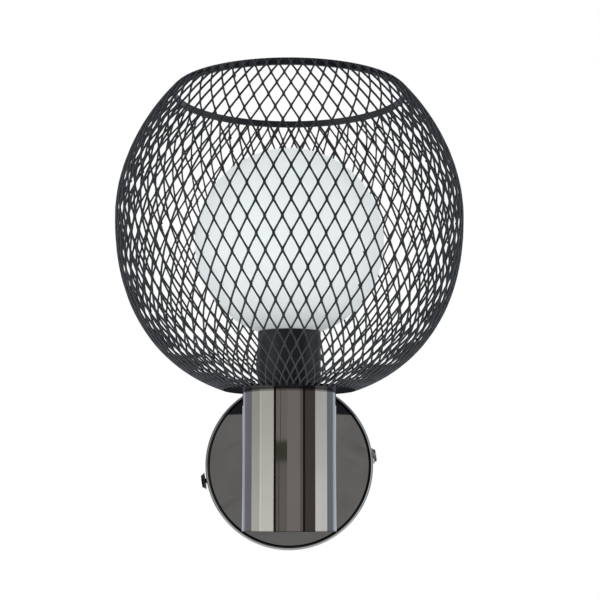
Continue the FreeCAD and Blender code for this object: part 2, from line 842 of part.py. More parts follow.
def cap_insulator(doc):
    """The glassy insulator between the cap and the tip."""
    plug = S.cap_radius - S.cap_sheet
    rise = S.insulator_height
    top = rise + S.insulator_plug
    points = ((0, 0), (S.insulator_nose, 0), (plug, rise), (plug, top), (0, top))
    cone = turned(doc, "cap_insulator", points)
    on_lamp_axis(cone, tip_base() + S.tip_height + S.turning_gap)
    return cone


def lamp_cap(doc):
    """The bulb's screw cap."""
    ring = ring_points(S.cap_radius, S.cap_radius - S.cap_sheet, 0, S.cap_length)
    cap = turned(doc, "lamp_cap", ring)
    on_lamp_axis(cap, cap_base())
    return cap


def globe_middle():
    """Height of the globe's centre, which leaves the cup's rim its gap to the glass."""
    reach = (S.globe_radius * S.globe_radius - S.cup_radius * S.cup_radius).root()
    return cup_top() + S.globe_gap + reach


def lamp_globe(doc):
    """The glass: a round globe on a short neck, open into the cap."""
    outer = glass_form(doc, "Outer", as_size(0))
    inner = glass_form(doc, "Inner", S.globe_glass)
    return cut(doc, "lamp_globe", outer, [inner])


def glass_form(doc, name, inset):
    """The globe with its neck, drawn in by the thickness of the glass."""
    ball = doc.addObject("Part::Sphere", "Ball" + name)
    bind(ball, "Radius", S.globe_radius - inset)
    on_lamp_axis(ball, globe_middle())
    neck = doc.addObject("Part::Cone", "Neck" + name)
    bind(neck, "Radius1", S.cap_radius + S.neck_step - inset)
    bind(neck, "Radius2", cup_inside() - S.neck_gap - inset)
    bind(neck, "Height", cup_top() + S.neck_overlap - cap_top())
    on_lamp_axis(neck, cap_top())
    form = doc.addObject("Part::Fuse", "Glass" + name)
    form.Base = ball
    form.Tool = neck
    return form


# ---- leads ----

def bent_wire(points, radii):
    """A wire along straight runs that are joined by tangent arcs."""
    edges = []
    start = points[0]
    for before, corner, after, radius in zip(points, points[1:], points[2:], radii):
        come = (before - corner).normalize()
        leave = (after - corner).normalize()
        half = come.getAngle(leave) / 2
        first = corner + come * (radius / math.tan(half))
        last = corner + leave * (radius / math.tan(half))
        centre = corner + (come + leave).normalize() * (radius / math.sin(half))
        middle = centre + (corner - centre).normalize() * radius
        edges.append(Part.LineSegment(start, first).toShape())
        edges.append(Part.Arc(first, middle, last).toShape())
        start = last
    edges.append(Part.LineSegment(start, points[-1]).toShape())
    return Part.Wire(edges)


def lead(doc, label, points, radii):
    """One insulated lead, a round tube along its route."""
    path = bent_wire(points, radii)
    start = points[0]
    section = Part.makeCircle(S.lead_radius.value, start, points[1] - start)
    tube = path.makePipeShell([Part.Wire([section])], True, False)
    piece = doc.addObject("Part::Feature", label)
    piece.Label = label
    piece.Shape = tube
    return piece


def supply_leads(doc):
    """Live and neutral: terminal block, tie tube, column, nipple, lampholder."""
    axis_y = -S.wall_to_axis.value
    centre_y = -(S.tie_inner_end.value - S.lead_grip.value / 2)
    grip = S.lead_grip.value
    block_x = S.block_offset.value / math.cos(math.radians(S.side_screw_tilt.value)) + grip
    top = (insert_base() - S.terminal_height).value
    leads = []
    for label, side in (("lead_live", 1), ("lead_neutral", -1)):
        x = side * S.lead_spread.value
        bend = S.lead_bend.value + (1 - side) * S.lead_spread.value
        run_y = centre_y + bend
        points = [FreeCAD.Vector(*spot) for spot in (
            (block_x, run_y, 0), (x, run_y, 0), (x, axis_y, 0), (x, axis_y, top))]
        leads.append(lead(doc, label, points, (bend, S.lead_rise_bend.value)))
    return leads


def earth_lead(doc):
    """Earth: from the terminal block to the earth screw, flat along the strap."""
    height = S.bracket_sheet + S.earth_washer_thick + S.earth_head_length / 2
    far = S.earth_offset - S.earth_head_radius + S.lead_grip
    near_end = S.block_offset + S.lead_grip
    along, across, out = strap_axes()
    shift = across * -S.earth_drop.value + out * height.value
    start = along * near_end.value + shift
    stop = along * -far.value + shift
    return lead(doc, "lead_earth", [start, stop], ())


# ---- cage ----

def cage_middle():
    """Height of the cage's widest ring."""
    return disc_top() + S.cage_equator


def rim_top():
    """Height of the rim ring's upper edge."""
    return disc_top() + S.cage_height


def cage_foot():
    """Lower hoop of the mesh, on the gallery disc's edge: radius, height from the widest ring."""
    return S.disc_radius + S.weld_depth, -S.cage_equator - S.disc_thick / 2


def cage_head():
    """Upper hoop of the mesh, outside the rim ring: radius, height from the widest ring."""
    return S.cage_mouth, S.cage_height - S.hoop_drop - S.cage_equator


def cage_outline(height):
    """Radius of the mesh's middle surface at a height from the widest ring."""
    upper = height > 0
    end_radius, end_height = cage_head() if upper else cage_foot()
    power = (S.cage_upper_power if upper else S.cage_lower_power).value
    widest = S.cage_radius.value
    fall = 1 - (end_radius.value / widest) ** power
    share = (height / end_height.value) ** power
    return widest * (1 - fall * share) ** (1 / power)


def cage_levels():
    """Points (radius, height) of the cage's outline, evenly spaced along it."""
    low = cage_foot()[1].value
    high = cage_head()[1].value
    spots = []
    for step in range(OUTLINE_STEPS + 1):
        height = low + (high - low) * step / OUTLINE_STEPS
        spots.append((cage_outline(height), height))
    lengths = [0.0]
    for before, after in zip(spots, spots[1:]):
        lengths.append(lengths[-1] + math.hypot(after[0] - before[0], after[1] - before[1]))
    rows = int(S.cage_rows.value)
    levels = []
    index = 0
    for row in range(rows + 1):
        goal = lengths[-1] * row / rows
        while index < OUTLINE_STEPS and lengths[index] < goal - 1e-9:
            index += 1
        levels.append(spots[index])
    return levels


class Mesh:
    """The cage's mesh: nodes on levels, and a rhombic strand between neighbours."""

    def __init__(self):
        self.levels = cage_levels()
        self.rows = int(S.cage_rows.value)
        self.columns = int(S.cage_columns.value)
        self.pitch = math.hypot(self.levels[1][0] - self.levels[0][0],
                                self.levels[1][1] - self.levels[0][1])
        self.faces = []

    def point(self, column, row, lift=0.0):
        """A point of the mesh, by column and row, lifted off the middle surface."""
        row = min(max(row, -0.5), self.rows + 0.5)
        low = min(max(int(math.floor(row)), 0), self.rows - 1)
        share = row - low
        (r0, z0), (r1, z1) = self.levels[low], self.levels[low + 1]
        length = math.hypot(r1 - r0, z1 - z0)
        radius = r0 + (r1 - r0) * share + lift * (z1 - z0) / length
        height = z0 + (z1 - z0) * share - lift * (r1 - r0) / length
        turn = 2 * math.pi * column / self.columns
        return FreeCAD.Vector(radius * math.cos(turn), radius * math.sin(turn),
                              height + cage_middle().value)

    def corners(self, column, row):
        """The four nodes round an opening, and their shrunken corners."""
        around = ((column + 0.5, row), (column, row + 1), (column - 0.5, row), (column, row - 1))
        width = math.pi * self.levels[min(max(row, 0), self.rows)][0] / self.columns
        reach = S.strand_width.value / 2
        shrink = 1 - reach * math.hypot(width, self.pitch) / (width * self.pitch)
        inner = [(column + (c - column) * shrink, row + (r - row) * shrink) for c, r in around]
        return around, inner

    def add(self, nodes, edge):
        """Add both faces of a half strand, from two nodes to two corners beside it."""
        (start, stop), (first, last) = nodes, edge
        lift = S.strand_thick.value / 2
        corner_a, corner_b = self.point(*first), self.point(*last)
        outer = (self.point(*start, lift), self.point(*stop, lift), corner_b, corner_a)
        inner = (self.point(*stop, -lift), self.point(*start, -lift), corner_a, corner_b)
        for a, b, c, d in (outer, inner):
            self.faces.append((a, b, c))
            self.faces.append((a, c, d))

    def add_opening(self, column, row):
        """Add the strands' faces round one full opening."""
        around, inner = self.corners(column, row)
        for index in range(4):
            after = (index + 1) % 4
            self.add((around[index], around[after]), (inner[index], inner[after]))

    def add_border(self, column, row, up):
        """Add a half opening on the first or last row, and the hoop that closes it."""
        beyond = -up * S.strand_width.value / 2 / self.pitch
        right, top, left = (column + 0.5, row), (column, row + up), (column - 0.5, row)
        around = [right, top, left] if up > 0 else [left, top, right]
        middle = (column, row + up * BORDER_MIDDLE)
        inner = [self.drawn_in(spot, middle) for spot in around]
        for index in range(3):
            after = (index + 1) % 3
            self.add((around[index], around[after]), (inner[index], inner[after]))
        start, stop = around[0], around[2]
        self.add((start, stop), ((start[0], row + beyond), (stop[0], row + beyond)))

    def drawn_in(self, spot, middle):
        """A border opening's corner, drawn in from its node."""
        width = math.pi * self.levels[min(spot[1], self.rows)][0] / self.columns
        shrink = 1 - BORDER_DRAW * S.strand_width.value / 2 / min(width, self.pitch)
        return tuple(m + (s - m) * shrink for s, m in zip(spot, middle))

    def solid(self):
        """The whole mesh as one solid."""
        for column in range(self.columns):
            for row in range(1, self.rows):
                self.add_opening(column + 0.5 * ((row + 1) % 2), row)
            self.add_border(column + 0.5, 0, 1)
            self.add_border(column + 0.5 * ((self.rows + 1) % 2), self.rows, -1)
        shape = Part.Shape()
        triangles = [corner for face in self.faces for corner in face]
        facets = [(n, n + 1, n + 2) for n in range(0, len(triangles), 3)]
        shape.makeShapeFromMesh((triangles, facets), 0.001)
        solid = Part.Solid(Part.Shell(shape.Faces))
        if solid.Volume < 0:
            solid.reverse()
        return solid


def cage_mesh(doc):
    """The open mesh of the cage, from the gallery disc up to the rim ring."""
    piece = doc.addObject("Part::Feature", "cage_mesh")
    piece.Label = "cage_mesh"
    piece.Shape = Mesh().solid()
    on_lamp_axis(piece)
    return piece


def cage_rim_ring(doc):
    """The band round the cage's mouth, welded to the tip of the mesh's upper hoop."""
    mesh = Mesh()
    tip = mesh.point(0, mesh.rows + S.strand_width.value / 2 / mesh.pitch)
    outer = tip.x + S.weld_depth.value
    inner = outer - S.rim_band.value
    ring = turned(doc, "cage_rim_ring", ring_points(outer, inner, 0, S.rim_height))
    on_lamp_axis(ring, rim_top() - S.rim_height)
    return ring


def build_pieces(doc):
    """Every piece of the light, in the order of assembly from the wall outwards."""
    pieces = [make(doc) for make in (
        wall_bracket, terminal_block, terminal_screws, earth_screw, earth_washer,
        canopy, canopy_washer, canopy_nut, arm_sleeve, tie_tube, saddle_washer, column_nut,
        column_tube, bottom_plate, bridge_plate, lower_nut, lock_washer, upper_nut,
        holder_nipple, gallery_disc, holder_cup, holder_ring, lampholder_body,
        contact_carrier, lampholder_terminals, threaded_shell, centre_contact,
        tip_contact, cap_insulator, lamp_cap, lamp_globe, earth_lead, cage_mesh,
        cage_rim_ring)]
    return pieces + side_fixings(doc) + supply_leads(doc)


def check(doc, pieces):
    """Stop if any object failed or any piece is not a sound solid."""
    for item in doc.Objects:
        faults = [word for word in item.State if word in FAULTS]
        if faults:
            raise RuntimeError("%s: %s" % (item.Label, faults))
    for piece in pieces:
        if piece.Shape.isNull() or not piece.Shape.isValid() or not piece.Shape.Solids:
            raise RuntimeError("%s is not a sound solid" % piece.Label)


def main():
    """Build the document, check it and write one file for each piece."""
    os.makedirs("parts", exist_ok=True)
    doc = FreeCAD.newDocument("CageWallLight")
    S.read(write_sheet(doc))
    pieces = build_pieces(doc)
    doc.recompute()
    check(doc, pieces)
    for piece in pieces:
        piece.Shape.exportStep("parts/%s.step" % piece.Label)
        print("%-22s %10.1f mm3 %d solid" % (piece.Label, piece.Shape.Volume, len(piece.Shape.Solids)))
    print("%d pieces" % len(pieces))


main()
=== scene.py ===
"""Dresses the cage wall light in a plain studio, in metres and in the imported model's frame."""

import json
import logging
import math
from collections.abc import Mapping, Sequence
from dataclasses import dataclass, field
from enum import Enum
from typing import TypeAlias

import bpy
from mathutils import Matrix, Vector

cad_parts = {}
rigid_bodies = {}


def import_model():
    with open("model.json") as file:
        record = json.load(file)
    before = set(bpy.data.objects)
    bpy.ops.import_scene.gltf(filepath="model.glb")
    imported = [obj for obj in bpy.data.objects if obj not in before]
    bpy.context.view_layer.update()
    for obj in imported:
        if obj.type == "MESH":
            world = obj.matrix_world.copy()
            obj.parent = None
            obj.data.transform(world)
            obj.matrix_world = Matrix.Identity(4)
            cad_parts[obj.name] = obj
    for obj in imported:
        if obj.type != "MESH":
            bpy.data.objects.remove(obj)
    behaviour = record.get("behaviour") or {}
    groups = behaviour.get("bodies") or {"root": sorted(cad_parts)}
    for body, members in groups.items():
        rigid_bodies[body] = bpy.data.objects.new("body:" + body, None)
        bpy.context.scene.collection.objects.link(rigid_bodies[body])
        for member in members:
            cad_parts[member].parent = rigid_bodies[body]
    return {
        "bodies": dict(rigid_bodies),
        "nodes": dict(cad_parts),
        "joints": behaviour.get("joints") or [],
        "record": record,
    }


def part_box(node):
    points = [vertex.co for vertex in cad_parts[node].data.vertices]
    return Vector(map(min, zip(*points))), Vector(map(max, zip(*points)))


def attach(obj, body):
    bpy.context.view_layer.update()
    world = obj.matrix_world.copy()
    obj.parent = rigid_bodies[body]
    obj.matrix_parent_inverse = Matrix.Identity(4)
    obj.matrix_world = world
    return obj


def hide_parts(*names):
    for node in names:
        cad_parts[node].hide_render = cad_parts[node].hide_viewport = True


LOG = logging.getLogger("cage_wall_light")
MM = 0.001
MICRON = 0.000001
IMAGE_SIDE = 600  # pixels
SENSOR = 36.0  # millimetres
CARD_SHADING = (-0.08, 0.21)  # heights between which a card's light changes, in metres

Span: TypeAlias = tuple[float, float]
Colour: TypeAlias = tuple[float, float, float]
Input: TypeAlias = "Value | bpy.types.NodeSocket | Sequence[float] | float | bool | str"

BLACK: Colour = (0.0, 0.0, 0.0)
WHITE: Colour = (1.0, 1.0, 1.0)
COOL_WHITE: Colour = (0.97, 0.985, 1.0)
PALE_GREY: Colour = (0.84, 0.84, 0.84)


class Value:
    """A socket of a node tree; arithmetic on it adds Math nodes."""

    def __init__(self, graph: "Graph", socket: bpy.types.NodeSocket) -> None:
        """Wrap a socket of the graph."""
        self.graph = graph
        self.socket = socket

    def maths(self, operation: str, *others: "Value | float", first: bool = True) -> "Value":
        """Add a Math node.

        Args:
            operation: The Math node's operation.
            others: The other operands.
            first: Whether this value is the first operand, or the second.

        Returns:
            The node's result.
        """
        operands = [self, *others] if first else [*others, self]
        sockets = dict(enumerate(operands))
        return self.graph.out("ShaderNodeMath", {"operation": operation}, sockets)

    def __add__(self, other: "Value | float") -> "Value":
        """Sum."""
        return self.maths("ADD", other)

    __radd__ = __add__

    def __mul__(self, other: "Value | float") -> "Value":
        """Product."""
        return self.maths("MULTIPLY", other)

    __rmul__ = __mul__

    def __sub__(self, other: "Value | float") -> "Value":
        """Difference."""
        return self.maths("SUBTRACT", other)

    def __rsub__(self, other: float) -> "Value":
        """Difference from a number."""
        return self.maths("SUBTRACT", other, first=False)

    def __truediv__(self, other: "Value | float") -> "Value":
        """Quotient."""
        return self.maths("DIVIDE", other)

    def __rtruediv__(self, other: float) -> "Value":
        """Number divided by this value."""
        return self.maths("DIVIDE", other, first=False)

    def __mod__(self, other: "Value | float") -> "Value":
        """Remainder, never negative."""
        return self.maths("FLOORED_MODULO", other)

    def __pow__(self, other: float) -> "Value":
        """Power."""
        return self.maths("POWER", other)

    def __neg__(self) -> "Value":
        """Negative."""
        return self.maths("MULTIPLY", -1.0)

    def least(self, other: "Value | float") -> "Value":
        """The lesser of two values."""
        return self.maths("MINIMUM", other)

    def most(self, other: "Value | float") -> "Value":
        """The greater of two values."""
        return self.maths("MAXIMUM", other)

    def held(self) -> "Value":
        """The value held between 0 and 1."""
        return self.most(0.0).least(1.0)

    def step(self, low: float, high: float) -> "Value":
        """Turn the value into a smooth rise.

        Args:
            low: Where the rise begins, at 0.
            high: Where it ends, at 1.

        Returns:
            The rise at this value.
        """
        settings = {"interpolation_type": "SMOOTHSTEP"}
        sockets = {"Value": self, "From Min": low, "From Max": high}
        return self.graph.out("ShaderNodeMapRange", settings, sockets)


class Graph:
    """A node tree under construction."""

    def __init__(self, tree: bpy.types.NodeTree) -> None:
        """Start on a tree."""
        self.tree = tree

    def node(self, kind: str, settings: Mapping[str, object] | None = None,
             sockets: Mapping[int | str, Input] | None = None) -> bpy.types.Node:
        """Add a node, its settings first and then its sockets.

        Args:
            kind: The node's type.
            settings: Values of the node's own properties. "captures" lists what a Capture node keeps.
            sockets: Values or links of its inputs, by name or number.

        Returns:
            The new node.
        """
        made = self.tree.nodes.new(kind)
        for name, value in (settings or {}).items():
            if name == "captures":
                for label, form in value:
                    made.capture_items.new(form, label)
            else:
                setattr(made, name, value)
        for key, value in (sockets or {}).items():
            target = made.inputs[key]
            if isinstance(value, Value):
                self.tree.links.new(value.socket, target)
            elif isinstance(value, bpy.types.NodeSocket):
                self.tree.links.new(value, target)
            else:
                target.default_value = value
        return made

    def out(self, kind: str, settings: Mapping[str, object] | None = None,
            sockets: Mapping[int | str, Input] | None = None, output: int | str = 0) -> Value:
        """Add a node and take one of its outputs.

        Args:
            kind: The node's type.
            settings: Values of the node's own properties.
            sockets: Values or links of its inputs.
            output: Name or number of the output.

        Returns:
            The output.
        """
        return Value(self, self.node(kind, settings, sockets).outputs[output])

    def vector(self, operation: str, *operands: Input, output: int = 0) -> Value:
        """Add a Vector Math node.

        Args:
            operation: The node's operation.
            operands: Vectors, or a number last for SCALE.
            output: 0 for a vector, 1 for a number.

        Returns:
            The node's result.
        """
        sockets: dict[int | str, Input] = dict(enumerate(operands))
        if operation == "SCALE":
            sockets = {0: operands[0], "Scale": operands[1]}
        return self.out("ShaderNodeVectorMath", {"operation": operation}, sockets, output)

    def joined(self, x: Input, y: Input, z: Input) -> Value:
        """A vector of three numbers."""
        return self.out("ShaderNodeCombineXYZ", None, {0: x, 1: y, 2: z})

    def parts(self, vector: Value) -> tuple[Value, Value, Value]:
        """The three numbers of a vector."""
        made = self.node("ShaderNodeSeparateXYZ", None, {0: vector})
        return Value(self, made.outputs[0]), Value(self, made.outputs[1]), Value(self, made.outputs[2])

    def mixed(self, share: Input, first: Input, second: Input) -> Value:
        """Mix two colours.

        Args:
            share: Share of the second colour.
            first: The first colour, with alpha.
            second: The second colour, with alpha.

        Returns:
            The mixed colour.
        """
        # The Mix node's inputs 6 and 7 and its output 2 are its colours.
        sockets = {0: share, 6: first, 7: second}
        return self.out("ShaderNodeMix", {"data_type": "RGBA"}, sockets, 2)

    def noise(self, place: Value, scale: float, detail: float) -> Value:
        """A noise pattern between 0 and 1, its scale per metre."""
        return self.out("ShaderNodeTexNoise", None, {"Vector": place, "Scale": scale, "Detail": detail})

    def merged(self, *parts: Value) -> Value:
        """Put several geometries together.

        Args:
            parts: The geometries.

        Returns:
            All of them as one.
        """
        joint = self.node("GeometryNodeJoinGeometry")
        for part in parts:
            self.tree.links.new(part.socket, joint.inputs[0])
        return Value(self, joint.outputs[0])


def full(colour: Colour) -> tuple[float, float, float, float]:
    """A colour with full alpha."""
    return (*colour, 1.0)


def empty_material(name: str) -> tuple[bpy.types.Material, Graph]:
    """Make a material without nodes.

    Args:
        name: Name of the material.

    Returns:
        The material and its graph.
    """
    made = bpy.data.materials.new(name)
    made.use_nodes = True
    made.node_tree.nodes.clear()
    return made, Graph(made.node_tree)


def linked(name: str, data: bpy.types.ID) -> bpy.types.Object:
    """Make an object in the scene.

    Args:
        name: Name of the object.
        data: Its mesh, lamp or camera.

    Returns:
        The object.
    """
    made = bpy.data.objects.new(name, data)
    bpy.context.scene.collection.objects.link(made)
    return made


class Grain(Enum):
    """Which way the marks of a finish run, as the scale of their noise along x, y and z."""

    EVEN = (1.0, 1.0, 1.0)
    ALONG_Z = (1.0, 1.0, 0.02)
    ALONG_X = (0.04, 1.0, 1.0)


@dataclass(frozen=True)
class Finish:
    """A surface: colour, gloss, and the marks that making and handling leave. Lengths are in metres.

    Attributes:
        name: Name of the finish. Most are slots in the record too.
        colour: Colour as a share of red, green and blue.
        rough: Roughness where the surface is clean.
        metal: 1 for bare metal and 0 for the rest.
        drift: How far the colour wanders, as a share of itself.
        drift_size: Size of the patches over which it wanders.
        grain: Height of the fine grain.
        grain_size: Size of the grain.
        way: Which way the grain runs.
        wear: How much rougher the handled patches are.
        constants: Further inputs of the shader, by name.
        drift_edge: Levels of the patches between which dark turns to light.
        patch_detail: Detail of the patches.
        grain_detail: Detail of the grain.
    """

    name: str
    colour: Colour
    rough: float
    metal: float = 0.0
    drift: float = 0.12
    drift_size: float = 12.0 * MM
    grain: float = 20.0 * MICRON
    grain_size: float = 0.8 * MM
    way: Grain = Grain.EVEN
    wear: float = 0.08
    constants: Mapping[str, object] = field(default_factory=dict)
    drift_edge: Span = (0.3, 0.7)
    patch_detail: float = 4.0
    grain_detail: float = 3.0

    def material(self) -> bpy.types.Material:
        """Build the material.

        Returns:
            A new material named after the finish.
        """
        made, graph = empty_material(self.name)
        place = graph.out("ShaderNodeTexCoord", output="Object")
        patches = graph.noise(place, 1 / self.drift_size, self.patch_detail)
        marks = self.marks(graph, place)
        bump = graph.out("ShaderNodeBump", None, {"Strength": 1.0, "Distance": self.grain, "Height": marks})
        shader = graph.out("ShaderNodeBsdfPrincipled", None, {
            "Base Color": self.colouring(graph, place, patches),
            "Roughness": self.roughness(patches, marks),
            "Metallic": self.metal,
            "Normal": bump,
            **self.constants,
        })
        graph.node("ShaderNodeOutputMaterial", None, {"Surface": shader})
        return made

    def marks(self, graph: Graph, place: Value) -> Value:
        """Height of the fine grain, stretched the way it runs."""
        stretched = graph.out("ShaderNodeMapping", None, {"Vector": place, "Scale": self.way.value})
        return graph.noise(stretched, 1 / self.grain_size, self.grain_detail)

    def colouring(self, graph: Graph, place: Value, patches: Value) -> Value:
        """Work out the colour of the surface, which wanders with the patches.

        Args:
            graph: The material's graph.
            place: Object coordinates.
            patches: The pattern of patches.

        Returns:
            The colour.
        """
        darker = tuple(c * (1 - self.drift) for c in self.colour)
        lighter = tuple(min(c * (1 + self.drift), 1.0) for c in self.colour)
        return graph.mixed(patches.step(*self.drift_edge), full(darker), full(lighter))

    def roughness(self, patches: Value, marks: Value) -> Value:
        """Roughness, higher in the handled patches."""
        return (self.rough + self.wear * (patches - 0.5) + self.wear * (marks - 0.5)).held()


@dataclass(frozen=True)
class Lacquered(Finish):
    """Thick black stoving paint, with a fine orange peel and dust in it.

    Attributes:
        dust: Colour of the dust.
        dust_scale: How closely its specks lie, per metre.
        speck_edge: Distances from a speck's middle between which it fades, as shares of their spacing.
        dusty: Levels of the patches between which the dust begins.
        dust_share: How much of the paint a speck hides.
    """

    dust: Colour = (0.05, 0.055, 0.06)
    dust_scale: float = 900.0
    speck_edge: Span = (0.05, 0.22)
    dusty: Span = (0.5, 0.62)
    dust_share: float = 0.5

    def colouring(self, graph: Graph, place: Value, patches: Value) -> Value:
        """Work out the colour, with a few pale specks of dust.

        Args:
            graph: The material's graph.
            place: Object coordinates.
            patches: The pattern of patches.

        Returns:
            The colour.
        """
        base = super().colouring(graph, place, patches)
        cells = {"Vector": place, "Scale": self.dust_scale}
        specks = 1 - graph.out("ShaderNodeTexVoronoi", None, cells, "Distance").step(*self.speck_edge)
        return graph.mixed(specks * patches.step(*self.dusty) * self.dust_share, base, full(self.dust))


@dataclass(frozen=True)
class Plated(Finish):
    """Bright plating: nearly a mirror, with wiping haze and hairlines.

    Attributes:
        hairline: Levels of the grain between which a hairline begins.
        haze: Levels of the patches between which the haze begins.
        haze_share: How rough the haze is, as a share of a hairline.
    """

    hairline: Span = (0.62, 0.72)
    haze: Span = (0.45, 0.75)
    haze_share: float = 0.5

    def roughness(self, patches: Value, marks: Value) -> Value:
        """Roughness with sharp hairlines over a soft haze."""
        haze = patches.step(*self.haze) * self.wear * self.haze_share
        return (self.rough + marks.step(*self.hairline) * self.wear + haze).held()


@dataclass(frozen=True)
class Banded(Plated):
    """Plating with thin darker rings of painted reflection and painted shade near its ends and edges.

    Attributes:
        painted_shade_bands: Start, end and darkness of each ring of painted reflection and shade, in metres
            along "measure".
        front: Bands show only nearer the camera than this depth, in metres.
        band_edge: Half the width over which a band's edge fades, in metres.
    """

    painted_shade_bands: tuple[tuple[float, float, float], ...] = ()
    front: float = 0.0
    band_edge: float = 0.1 * MM

    def measure(self, graph: Graph, place: Value) -> Value:
        """What the bands are measured along: height."""
        return graph.parts(place)[2]

    def colouring(self, graph: Graph, place: Value, patches: Value) -> Value:
        """Lay the rings of painted reflection and shade over the colour.

        Args:
            graph: The material's graph.
            place: Object coordinates.
            patches: The pattern of patches.

        Returns:
            The colour.
        """
        colour = super().colouring(graph, place, patches)
        way = self.measure(graph, place)
        _, depth, _ = graph.parts(place)
        share: Value | float = 0.0
        # Each ring darkens the plating towards black as painted reflection and shade, and shows only nearer
        # the camera than "front".
        for low, high, dark in self.painted_shade_bands:
            begun = way.step(low - self.band_edge, low + self.band_edge)
            ended = way.step(high - self.band_edge, high + self.band_edge)
            share = share + begun * (1 - ended) * dark
        return graph.mixed(share * depth.maths("LESS_THAN", self.front), colour, full(BLACK))


@dataclass(frozen=True)
class Dished(Banded):
    """Banded plating whose rings of painted reflection lie round the canopy's middle, with faint dark
    streaks.

    Attributes:
        streak_scale: How closely the streaks lie, per metre.
        streak_run: How fast they change sideways, as a share of how fast they change upwards.
        streak_bend: How fast they bend down at the sides.
        streak_edge: Levels of their noise between which a streak begins.
        streaked: Levels of the patches between which the streaks show.
        streak_dark: How dark they are.
        streak_detail: Detail of their noise.
    """

    streak_scale: float = 90.0
    streak_run: float = 0.15
    streak_bend: float = 6.0
    streak_edge: Span = (0.56, 0.68)
    streaked: Span = (0.35, 0.6)
    streak_dark: float = 0.22
    streak_detail: float = 2.0

    def measure(self, graph: Graph, place: Value) -> Value:
        """Distance from the canopy's middle, as the camera sees it."""
        across, _, up = graph.parts(place)
        return (across ** 2.0 + up ** 2.0) ** 0.5

    def colouring(self, graph: Graph, place: Value, patches: Value) -> Value:
        """Lay the streaks over the banded colour.

        Args:
            graph: The material's graph.
            place: Object coordinates.
            patches: The pattern of patches.

        Returns:
            The colour.
        """
        colour = super().colouring(graph, place, patches)
        across, _, up = graph.parts(place)
        bent = graph.joined(across * self.streak_run, 0.0, up + across ** 2.0 * self.streak_bend)
        streaks = graph.noise(bent, self.streak_scale, self.streak_detail).step(*self.streak_edge)
        return graph.mixed(streaks * patches.step(*self.streaked) * self.streak_dark, colour, full(BLACK))


@dataclass(frozen=True)
class Threaded(Plated):
    """Plated screw thread: fine ridges across the screw's length.

    Attributes:
        along: Direction of the screw's length.
        pitch: Distance between ridges, in metres.
        grain_share: Height of the grain, as a share of a ridge.
    """

    along: tuple[float, float, float] = (0.0, 0.0, 1.0)
    pitch: float = 1.0 * MM
    grain_share: float = 0.1

    def marks(self, graph: Graph, place: Value) -> Value:
        """Work out the height of the ridges, with a little grain.

        Args:
            graph: The material's graph.
            place: Object coordinates.

        Returns:
            The height.
        """
        way = graph.vector("DOT_PRODUCT", place, self.along, output=1) / self.pitch
        ridge = (way % 1.0 - 0.5).maths("ABSOLUTE") * 2.0
        return ridge + super().marks(graph, place) * self.grain_share

    def roughness(self, patches: Value, marks: Value) -> Value:
        """Roughness, higher in the handled patches only."""
        return (self.rough + self.wear * (patches - 0.5)).held()


@dataclass(frozen=True)
class Spangled(Finish):
    """Zinc plating, in faint crystals of slightly different greys.

    Attributes:
        crystal_scale: How closely the crystals lie, per metre.
    """

    crystal_scale: float = 700.0

    def colouring(self, graph: Graph, place: Value, patches: Value) -> Value:
        """Work out the colour from crystal to crystal.

        Args:
            graph: The material's graph.
            place: Object coordinates.
            patches: The pattern of patches, which the crystals don't follow.

        Returns:
            The colour.
        """
        cells = {"Vector": place, "Scale": self.crystal_scale}
        share, _, _ = graph.parts(graph.out("ShaderNodeTexVoronoi", None, cells, "Color"))
        darker = tuple(c * (1 - 2 * self.drift) for c in self.colour)
        return graph.mixed(share, full(darker), full(self.colour))


CHROME: Colour = (0.40, 0.39, 0.385)
ZINC: Colour = (0.62, 0.63, 0.64)

# What sets of finishes have in common.
POLISHED = {
    "metal": 1.0, "drift": 0.03, "drift_size": 30.0 * MM,
    "grain": 1.5 * MICRON, "grain_size": 1.5 * MM, "wear": 0.03,
}
MILLED = {
    "metal": 1.0, "drift": 0.15, "drift_size": 6.0 * MM,
    "grain": 10.0 * MICRON, "grain_size": 0.4 * MM, "wear": 0.15,
}
CUT = MILLED | {"drift": 0.1, "grain": 400.0 * MICRON}

